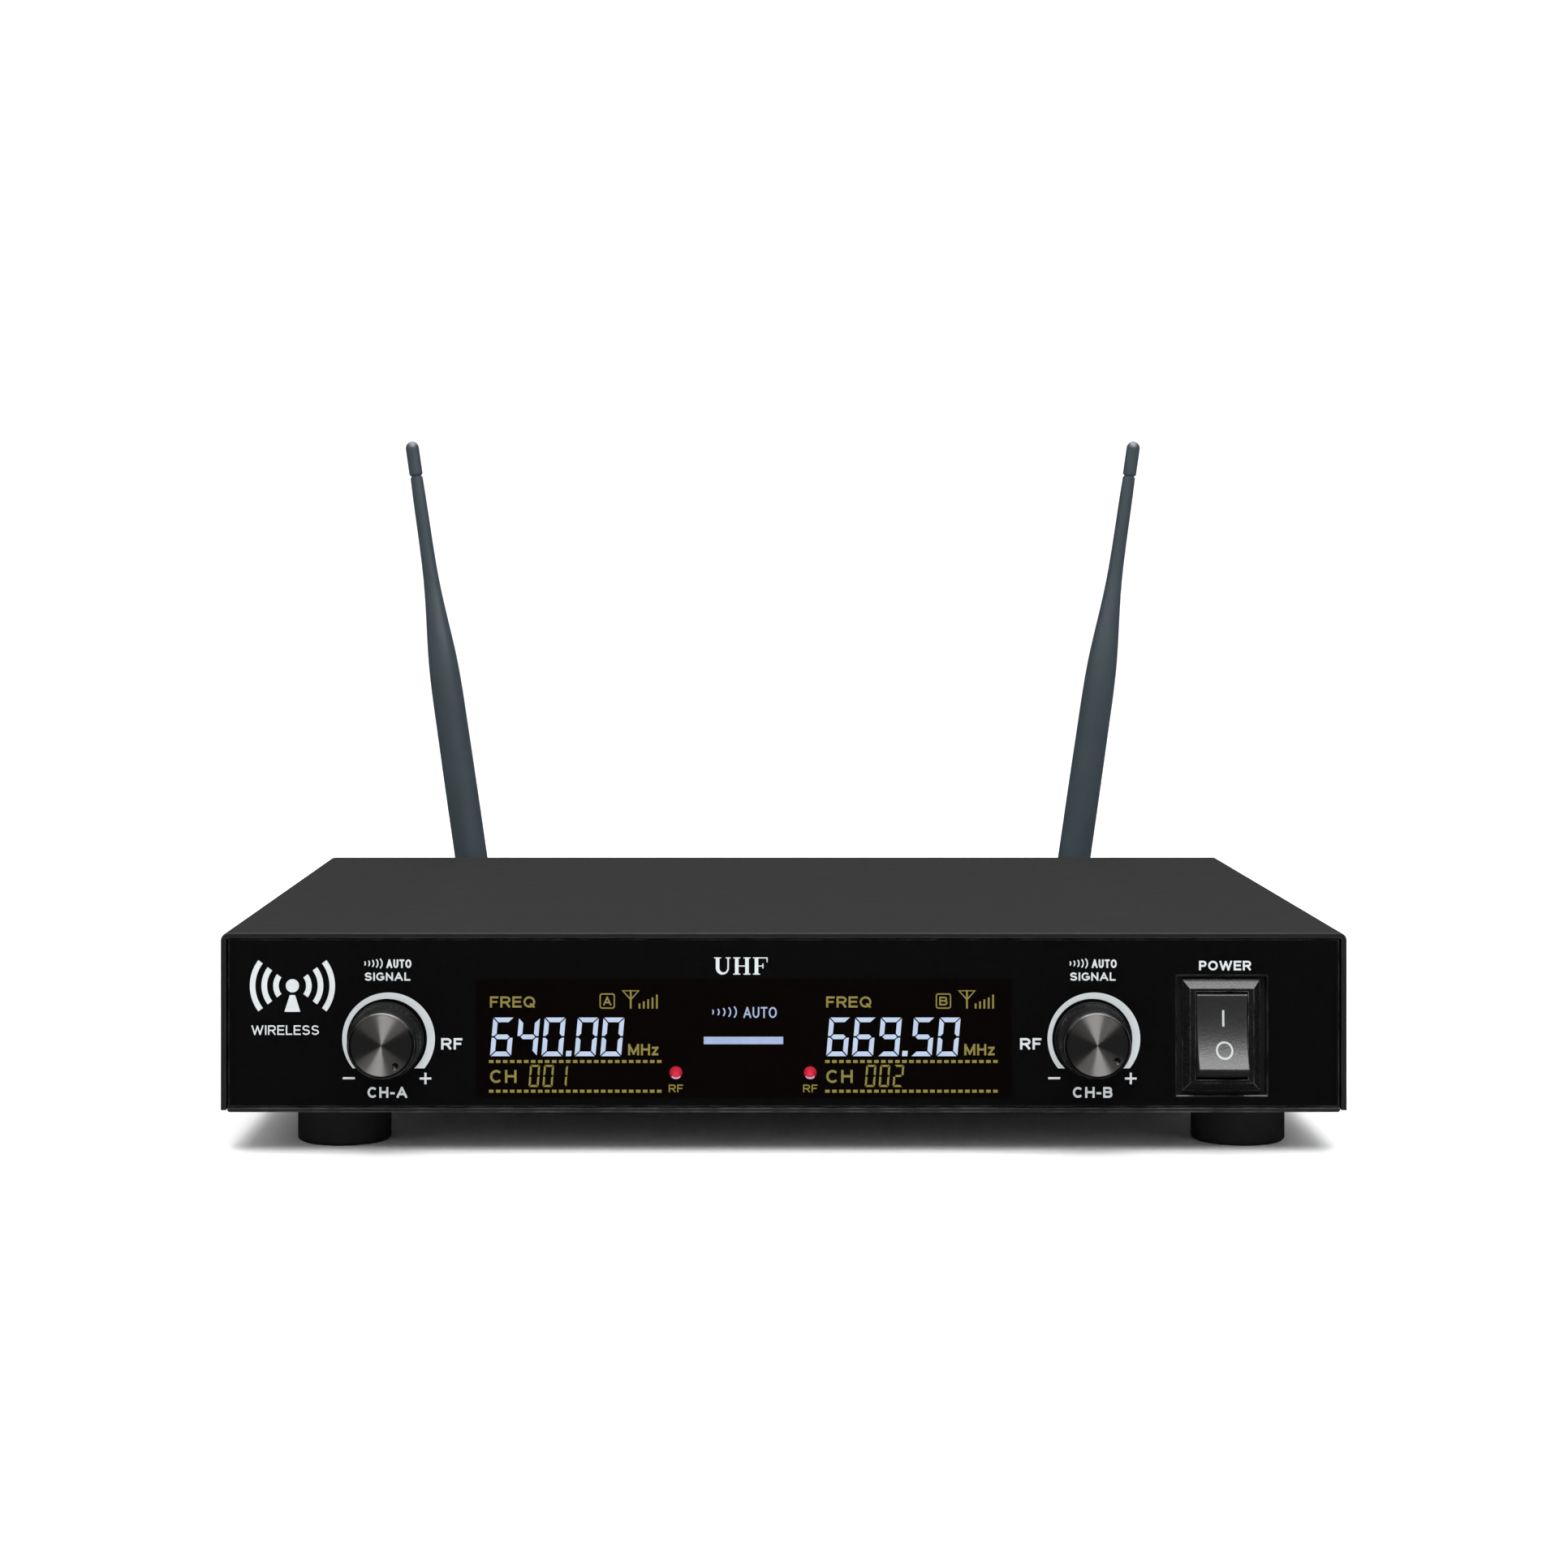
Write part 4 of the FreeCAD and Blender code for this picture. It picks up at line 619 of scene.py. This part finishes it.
# Segments of each figure: a at the top, then clockwise to f, and g in the middle
SEGMENTS_OF = {
    "0": "abcdef", "1": "bc", "2": "abged", "3": "abgcd", "4": "fgbc",
    "5": "afgcd", "6": "afgedc", "7": "abc", "8": "abcdefg", "9": "abcdfg",
}


def segment_outlines(width, height, thick, gap):
    """Outlines of a digit's seven segments, by letter, anticlockwise, from the digit's lower left corner."""
    half, t, g = height / 2, thick, gap
    top = [(g, height), (t + g, height - t), (width - t - g, height - t), (width - g, height)]
    upper_left = [
        (0, half + g), (t / 2, half + g), (t, half + t / 2 + g), (t, height - t - g), (0, height - g),
    ]
    middle = [
        (t / 2 + g, half), (t + g, half - t / 2), (width - t - g, half - t / 2),
        (width - t / 2 - g, half), (width - t - g, half + t / 2), (t + g, half + t / 2),
    ]

    def flipped(outline, across, over):
        points = [(width - u if across else u, height - v if over else v) for u, v in outline]
        return points[::-1] if across != over else points

    return {
        "a": top, "b": flipped(upper_left, True, False), "c": flipped(upper_left, True, True),
        "d": flipped(top, False, True), "e": flipped(upper_left, False, True), "f": upper_left, "g": middle,
    }


def digits(marks, text, u, v, width, height, pitch, thick, gap, slant, point_room=0.0):
    """Seven-segment number with its lower left corner at (u, v). A point takes point_room, not a digit's."""
    outlines = segment_outlines(width, height, thick, gap)
    for character in text:
        if character == ".":
            side = thick * 1.15
            lean = side * 0.1
            left = u - (pitch - width) + (pitch - width + point_room - side) / 2
            right = left + side
            marks.shape([(left, v), (right, v), (right + lean, v + side), (left + lean, v + side)])
            u += point_room
            continue
        for letter in SEGMENTS_OF[character]:
            marks.shape([(u + x + slant * y, v + y) for x, y in outlines[letter]])
        u += pitch


def signal_waves(marks, u0, u1, v, size, width):
    """Row of five growing arcs that open to the left, as a sign for a radio signal."""
    for k in range(5):
        share = k / 4
        radius = size * (0.45 + 0.55 * share)
        right = u0 + (u1 - u0) * (0.10 + 0.90 * share)
        marks.ring(right - radius, v, radius - width / 2, width, -46, 46, 14)


def broadcast_emblem(marks, u, v):
    """Plain sign for a wireless unit: a dot between three pairs of arcs, on a short stem."""
    marks.disc(u, v, 1.25)
    for radius in (3.1, 5.3, 7.5):
        for side in (0, 180):
            marks.ring(u, v, radius, 1.05, side - 37, side + 37, 28)
    marks.shape([(u - 1.5, v - 4.9), (u + 1.5, v - 4.9), (u + 0.5, v - 1.75), (u - 0.5, v - 1.75)])


def serif_heading(marks, u, v0, v1):
    """UHF in heavy serif capitals, from stems, hairlines and slabs, with its left end at u."""
    stem, hair, slab, reach = 0.68, 0.28, 0.20, 0.32

    def upright(left, width, feet=True, bottom=v0):
        marks.bar(left, left + width, bottom, v1)
        marks.bar(left - reach, left + width + reach, v1 - slab, v1)
        if feet:
            marks.bar(left - reach, left + width + reach, v0, v0 + slab)

    left, right, bowl = u + reach, u + 2.5, v0 + 1.25
    upright(left, stem, feet=False, bottom=bowl)
    upright(right, hair, feet=False, bottom=bowl)
    outer = (right + hair - left) / 2
    inner = (right - left - stem) / 2
    marks.strip(
        arc_points(left + outer, bowl, outer, bowl - v0, 180, 360, 28),
        arc_points(left + stem + inner, bowl, inner, bowl - v0 - 0.42, 180, 360, 28),
    )
    middle = (v0 + v1) / 2
    left, right = u + 3.6 + reach, u + 3.6 + 2.25
    upright(left, stem)
    upright(right, stem)
    marks.bar(left + stem, right, middle - slab / 2, middle + slab / 2)
    left, end = u + 7.32 + reach, u + 7.32 + 2.75
    upright(left, stem)
    marks.bar(left + stem, end, v1 - slab, v1)
    marks.bar(end - 0.2, end, v1 - 0.95, v1 - slab)
    marks.bar(left + stem, left + 1.45, middle - slab / 2, middle + slab / 2)
    marks.bar(left + 1.45, left + 1.65, middle - 0.46, middle + 0.46)


# Level scale round a knob, which widens to the right: its outer and inner circles, how far the inner one is
# shifted to the left, the angle from the top at which it ends, its middle for each channel, and how far from
# there the letters RF stand
SCALE_OUT_R, SCALE_IN_R, SCALE_SHIFT, SCALE_END = 8.73, 7.55, 0.3, 129.5
SCALE_V = -3.0
SCALE_U = {"a": -74.4, "b": 58.4}
RF_REACH = 11.9


def level_labels(marks, channel):
    """White print round one level knob: its scale, end signs, channel name and the words above it."""
    u = SCALE_U[channel]
    drop = SCALE_OUT_R * math.cos(math.radians(SCALE_END))
    inner_end = math.degrees(math.acos(drop / SCALE_IN_R))
    marks.strip(
        arc_points(u, SCALE_V, SCALE_OUT_R, SCALE_OUT_R, 90 - SCALE_END, 90 + SCALE_END, 90),
        arc_points(u - SCALE_SHIFT, SCALE_V, SCALE_IN_R, SCALE_IN_R, 90 - inner_end, 90 + inner_end, 90),
    )
    marks.bar(u - 8.6, u - 6.35, -10.60, -10.20)
    marks.bar(u + 5.85, u + 8.05, -10.66, -10.26)
    marks.bar(u + 6.75, u + 7.15, -11.55, -9.37)
    marks.words(f"CH-{channel.upper()}", u - 3.95, u + 3.5, -14.1, -12.05)
    signal_waves(marks, u - 4.6, u - 1.1, 11.2, 1.35, 0.24)
    marks.words("AUTO", u - 0.4, u + 4.3, 10.35, 11.95)
    marks.words("SIGNAL", u - 4.5, u + 4.1, 7.95, 9.5)
    rf_middle = u + (RF_REACH if channel == "a" else -RF_REACH)
    marks.words("RF", rf_middle - 2.0, rf_middle + 2.0, -5.0, -2.85)


def front_print(ink):
    """All the white print on the acrylic."""
    marks = Marks("front_print_white")
    broadcast_emblem(marks, -92.5, 7.0)
    marks.words("WIRELESS", -100.2, -87.5, -2.25, -0.45, 0.14)
    serif_heading(marks, -13.1, 9.1, 12.35)
    for channel in "ab":
        level_labels(marks, channel)
    marks.words("POWER", 78.2, 88.0, 9.9, 11.7)
    marks.piece(ink)


def holed_window(marks, u0, u1, v0, v1, holes, radius):
    """Rectangle with round holes in one row, left open round the lamps."""
    side = radius * 1.4
    v = holes[0][1]
    marks.bar(u0, u1, v0, v - side)
    marks.bar(u0, u1, v + side, v1)
    edges = [u0] + [u + sign * side for u, _ in holes for sign in (-1, 1)] + [u1]
    for left, right in zip(edges[::2], edges[1::2]):
        marks.bar(left, right, v - side, v + side)
    for u, v in holes:
        square = []
        for k in range(40):
            a = math.radians(9 * k)
            grow = side / max(abs(math.cos(a)), abs(math.sin(a)))
            square.append((u + grow * math.cos(a), v + grow * math.sin(a)))
        marks.strip(arc_points(u, v, radius, radius, 0, 360, 40)[:-1], square, closed=True)


# Displays: the window, the left end of channel A's marks, the way from there to channel B's, the weight of
# the letters, the dashes of a dashed line, and the heights of the signal's bars
DISPLAY_WINDOW = (-57.9, 42.9, -14.15, 8.35)
DISPLAY_LEFT = -55.4
CHANNEL_PITCH = 63.3
DISPLAY_WEIGHT = 0.18
DASHES, DASH_PITCH, DASH_LENGTH, DASH_HALF = 25, 1.318, 0.86, 0.28
SIGNAL_BARS = (0.97, 1.36, 1.73, 2.09, 2.63)
# Lamps' holes: their radius, and the way from the ends of the lamps' row to their middles
LAMP_HOLE_R = 1.25
LAMP_SIDE = 1.75


def channel_frame(marks, letter, u0, u1, v0, v1):
    """Channel's letter in a frame with rounded corners."""
    bend, rim = 0.35, 0.24
    left, right, low, high = u0 + bend, u1 - bend, v0 + bend, v1 - bend
    path = []
    for u, v, start in ((right, high, 0), (left, high, 90), (left, low, 180), (right, low, 270)):
        path += arc_points(u, v, bend, bend, start, start + 90, 4)
    marks.trace(path + path[:1], rim, closed=True)
    marks.words(letter, u0 + 0.55, u1 - 0.55, v0 + 0.5, v1 - 0.5, DISPLAY_WEIGHT)


def display_marks(dim, bright, left, number, channel_name, channel_number):
    """Dim olive and bright blue marks of one channel's display, from its left end."""
    dim.words("FREQ", left + 0.1, left + 8.6, 2.9, 5.0, DISPLAY_WEIGHT)
    digits(bright, number, left + 0.1, -6.26, 3.95, 7.28, 4.84, 0.88, 0.16, slant=0.088, point_room=1.38)
    dim.words("MHz", left + 26.1, left + 31.8, -6.1, -3.95, DISPLAY_WEIGHT)
    for v in (-7.26, -12.85):
        for k in range(DASHES):
            start = left - 0.1 + DASH_PITCH * k
            dim.bar(start, start + DASH_LENGTH, v - DASH_HALF, v + DASH_HALF)
    dim.words("CH", left + 0.1, left + 5.1, -11.3, -8.85, DISPLAY_WEIGHT)
    digits(dim, channel_number, left + 7.35, -12.05, 1.90, 4.15, 2.62, 0.38, 0.12, slant=0.075)
    channel_frame(dim, channel_name, left + 20.85, left + 23.5, 2.8, 5.45)
    aerial_u, top, low = left + 26.6, 6.2, 2.7
    dim.bar(aerial_u - 0.17, aerial_u + 0.17, low, top)
    corner = (aerial_u - 1.5, top - 0.15)
    dim.trace([corner, (aerial_u + 1.5, top - 0.15), (aerial_u, 4.4), corner], 0.27, closed=True)
    for k, height in enumerate(SIGNAL_BARS):
        start = left + 28.07 + 0.82 * k
        dim.bar(start, start + 0.34, low, low + height)


def front_displays():
    """Display window, the lit marks of both channels and of the middle, and painted lamp light in the lamps'
    holes.
    """
    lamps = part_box("rf_leds")
    lamp_v = ((lamps[0].z + lamps[1].z) / 2 - FRONT_MID_Z) / MM
    holes = [(side.x / MM + inward, lamp_v) for side, inward in zip(lamps, (LAMP_SIDE, -LAMP_SIDE))]
    window = Marks("display_window", high=INK / 2)
    holed_window(window, *DISPLAY_WINDOW, holes, LAMP_HOLE_R)
    window.piece(display_tint())
    dim = Marks("display_marks_olive", low=INK / 2)
    bright = Marks("display_marks_blue", low=INK / 2)
    display_marks(dim, bright, DISPLAY_LEFT, "640.00", "A", "001")
    display_marks(dim, bright, DISPLAY_LEFT + CHANNEL_PITCH, "669.50", "B", "002")
    for u, _ in holes:
        dim.words("RF", u - 1.35, u + 1.35, -13.05, -11.6, 0.16)
    dim.piece(glowing("lit_olive", srgb(134, 122, 42)))
    bright.piece(glowing("lit_blue", srgb(192, 209, 236)))
    middle = Marks("middle_sign_lit", low=INK / 2)
    signal_waves(middle, -13.6, -8.8, 2.05, 1.55, 0.26)
    middle.words("AUTO", -7.6, -1.3, 0.95, 3.0, 0.14)
    middle.bar(-15.05, -0.1, -4.0, -2.6)
    middle.piece(glowing("lit_pale_blue", srgb(166, 181, 220)))
    # Painted light: an emissive band on the lower wall of each lamp's hole stands for the lamp's light on the
    # acrylic.
    glow = Marks("lamp_hole_glow")
    shallow, deep = -0.05, -1.9
    for u, v in holes:
        wide, tight = (arc_points(u, v, r, r, 228, 312, 20) for r in (LAMP_HOLE_R - 0.06, LAMP_HOLE_R - 0.10))
        rows = ((wide, shallow), (wide, deep), (tight, deep), (tight, shallow))
        glow.band([[(x, y, out) for x, y in row] for row, out in rows])
    glow.piece(glowing("lit_pink", srgb(214, 176, 206), 0.8))


def polarity_sign(marks, u, v):
    """Power inlet's sign: the pin inside its sleeve, joined to plus on the right and to minus on the left."""
    sign_reach, line, stroke = 4.0, 0.12, 0.09
    marks.ring(u, v, 1.0, 0.25, 20, 340, 32)
    marks.disc(u, v, 0.42, 24)
    for side in (-1, 1):
        marks.bar(*sorted((u + side * 1.2, u + side * 3.0)), v - line, v + line)
        sign_u = u + side * sign_reach
        marks.ring(sign_u, v, 0.95, 0.2, 0, 360, 32)
        marks.bar(sign_u - 0.5, sign_u + 0.5, v - stroke, v + stroke)
    marks.bar(u + sign_reach - stroke, u + sign_reach + stroke, v - 0.5, v + 0.5)


def rear_print(ink):
    """Small white print beside the rear connectors."""
    marks = Marks("rear_print_white", face=on_rear)
    top_row, height = 12.3, 1.5

    def middle_u(node):
        low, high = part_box(node)
        return -(low.x + high.x) / 2 / MM

    def label(text, u, v, width):
        marks.words(text, u - width / 2, u + width / 2, v, v + height, 0.15)

    label("ANTENNA A", middle_u("antenna_left_socket") - 4.5, top_row, 13.5)
    label("ANTENNA B", middle_u("antenna_right_socket") + 4.5, top_row, 13.5)
    label("OUT A", middle_u("xlr_a_housing") + 18.5, top_row, 7.0)
    label("OUT B", middle_u("xlr_b_housing") - 17.5, top_row, 7.0)
    label("MIX OUT", middle_u("mix_jack"), -12.6, 9.5)
    label("DC IN", middle_u("dc_inlet"), 9.6, 6.5)
    polarity_sign(marks, middle_u("dc_inlet"), -10.6)
    marks.piece(ink)


def rocker_marks(ink):
    """On and off signs that follow the rocker's hollow face."""
    rocker = frame["nodes"]["switch_rocker"].data
    tree = BVHTree.FromPolygons([v.co for v in rocker.vertices], [p.vertices for p in rocker.polygons])
    low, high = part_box("switch_rocker")
    middle_x = (low.x + high.x) / 2

    def on_rocker(u, v, out):
        start = Vector((middle_x + u * MM, low.y - 0.01, FRONT_MID_Z + v * MM))
        place = tree.ray_cast(start, Vector((0, 1, 0)))[0]
        return Vector((start.x, place.y - out * MM, start.z))

    marks = Marks("rocker_marks_white", face=on_rocker, low=-0.01, high=INK)
    marks.trace([(0.2, -0.4 + 0.22 * k) for k in range(13)], 0.42)
    marks.ring(0.25, -4.95, 1.45, 0.38, 0, 360, 64)
    marks.piece(ink, body="power_rocker")


def printed_ink(name, colour):
    """Screen-printed pale ink, slightly uneven."""
    return finish_material(
        name, colour, 0.5, specular=0.3, mottle=0.06, mottle_scale=400.0, grain_scale=5000.0,
        grain_depth=0.000006,
    )


# ---------------------------------------------------------------- stage, light and camera
# Bowl: radius of its flat floor, radius of the bend round it, height of the wall, and steps round it
BOWL_FLAT, BOWL_BEND, BOWL_TOP = 1.3, 0.7, 1.9
BOWL_TURNS = 96


def studio_bowl():
    """Pale floor that curves up into a wall all round, without a horizon."""
    profile = [(r, 0.0) for r in (0.4, 0.9, BOWL_FLAT)]
    profile += [
        (BOWL_FLAT + BOWL_BEND * math.sin(a), BOWL_BEND * (1 - math.cos(a)))
        for a in (math.radians(6 * k) for k in range(1, 16))
    ]
    profile.append((BOWL_FLAT + BOWL_BEND, BOWL_TOP))
    mesh = bmesh.new()
    rings = [[mesh.verts.new((0, 0, 0))] * BOWL_TURNS]
    for radius, height in profile:
        turn = arc_points(0, 0, radius, radius, 0, 360, BOWL_TURNS)[:-1]
        rings.append([mesh.verts.new((x, y, height)) for x, y in turn])
    for inner, outer in zip(rings, rings[1:]):
        for k in range(BOWL_TURNS):
            after = (k + 1) % BOWL_TURNS
            corners = [inner[k], outer[k], outer[after], inner[after]]
            face = mesh.faces.new(list(dict.fromkeys(corners)))
            face.smooth = True
    data = bpy.data.meshes.new("studio_floor")
    mesh.to_mesh(data)
    mesh.free()
    graph = Graph("studio_floor")
    shader = graph.shader
    paper = graph.mixed(graph.noise(6.0, detail=2.0), grey(0.88), grey(0.91))
    graph.join(paper, shader.inputs["Base Color"])
    shader.inputs["Roughness"].default_value = 0.7
    shader.inputs["Specular IOR Level"].default_value = 0.2
    data.materials.append(graph.material)
    floor = bpy.data.objects.new("studio_floor", data)
    floor.visible_glossy = False
    bpy.context.scene.collection.objects.link(floor)


# Soft boxes: place, width and depth, all in metres, and power in watts
SOFT_BOXES = {
    "overhead_box": ((0.0, 0.10, 1.30), 1.5, 1.0, 20.0),
    "front_top_box": ((0.04, -0.95, 1.15), 0.85, 0.70, 14.0),
    "front_left_box": ((-1.15, -0.70, 0.95), 0.28, 0.8, 1.6),
    "front_right_box": ((0.90, -0.80, 1.00), 0.28, 0.8, 3.5),
}
LIGHT_TARGET = (0.0, 0.0, 0.03)
# How the surround's strength rises with the upward part of the direction
SURROUND = {"From Min": 0.3, "From Max": 0.9, "To Min": 0.03, "To Max": 1.0}


def soft_light(name, place, width, depth, power):
    """Rectangular soft box aimed at the unit."""
    data = bpy.data.lights.new(name, "AREA")
    data.shape = "RECTANGLE"
    data.size, data.size_y, data.energy = width, depth, power
    light = bpy.data.objects.new(name, data)
    bpy.context.scene.collection.objects.link(light)
    light.location = place
    light.rotation_mode = "QUATERNION"
    light.rotation_quaternion = (Vector(LIGHT_TARGET) - Vector(place)).to_track_quat("-Z", "Y")


def studio_light():
    """Soft boxes overhead, above the front and at both front sides, in a surround that is dark low down."""
    for name, settings in SOFT_BOXES.items():
        soft_light(name, *settings)
    world = bpy.data.worlds.new("surround")
    world.use_nodes = True
    nodes, links = world.node_tree.nodes, world.node_tree.links
    direction = nodes.new("ShaderNodeTexCoord").outputs["Generated"]
    parts = nodes.new("ShaderNodeSeparateXYZ")
    links.new(direction, parts.inputs[0])
    height = nodes.new("ShaderNodeMapRange")
    links.new(parts.outputs["Z"], height.inputs["Value"])
    for key, number in SURROUND.items():
        height.inputs[key].default_value = number
    links.new(height.outputs["Result"], nodes["Background"].inputs["Strength"])
    nodes["Background"].inputs["Color"].default_value = (0.97, 0.98, 1.0, 1.0)
    bpy.context.scene.world = world
    bpy.context.scene.view_settings.view_transform = "Standard"


# Camera: distance from the cabinet's front edge, place, focal length and sensor in millimetres, and shift
CAMERA_DISTANCE = 0.600
CAMERA_X = -0.0088
CAMERA_Z = 0.1092
CAMERA_LENS, CAMERA_SENSOR = 73.2, 36.0
CAMERA_SHIFT = (0.0300, -0.1335)


def photo_camera():
    """Level camera in front of the unit, a little left of its middle and above it."""
    data = bpy.data.cameras.new("camera")
    data.lens, data.sensor_width = CAMERA_LENS, CAMERA_SENSOR
    data.shift_x, data.shift_y = CAMERA_SHIFT
    data.clip_start = 0.01
    camera = bpy.data.objects.new("camera", data)
    bpy.context.scene.collection.objects.link(camera)
    camera.location = (CAMERA_X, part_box("top_cover")[0].y - CAMERA_DISTANCE, CAMERA_Z)
    camera.rotation_euler = (math.pi / 2, 0, 0)
    bpy.context.scene.camera = camera


# ---------------------------------------------------------------- the whole
photo_camera()
dress_nodes()
panel_ink = printed_ink("printed_ink", srgb(172, 177, 178))
front_displays()
front_print(panel_ink)
rear_print(panel_ink)
# Painted shade: the rocker's signs take a darker copy of the panel ink, as they face up into the light.
rocker_marks(printed_ink("rocker_ink_painted_shade", srgb(154, 158, 158)))
studio_bowl()
studio_light()
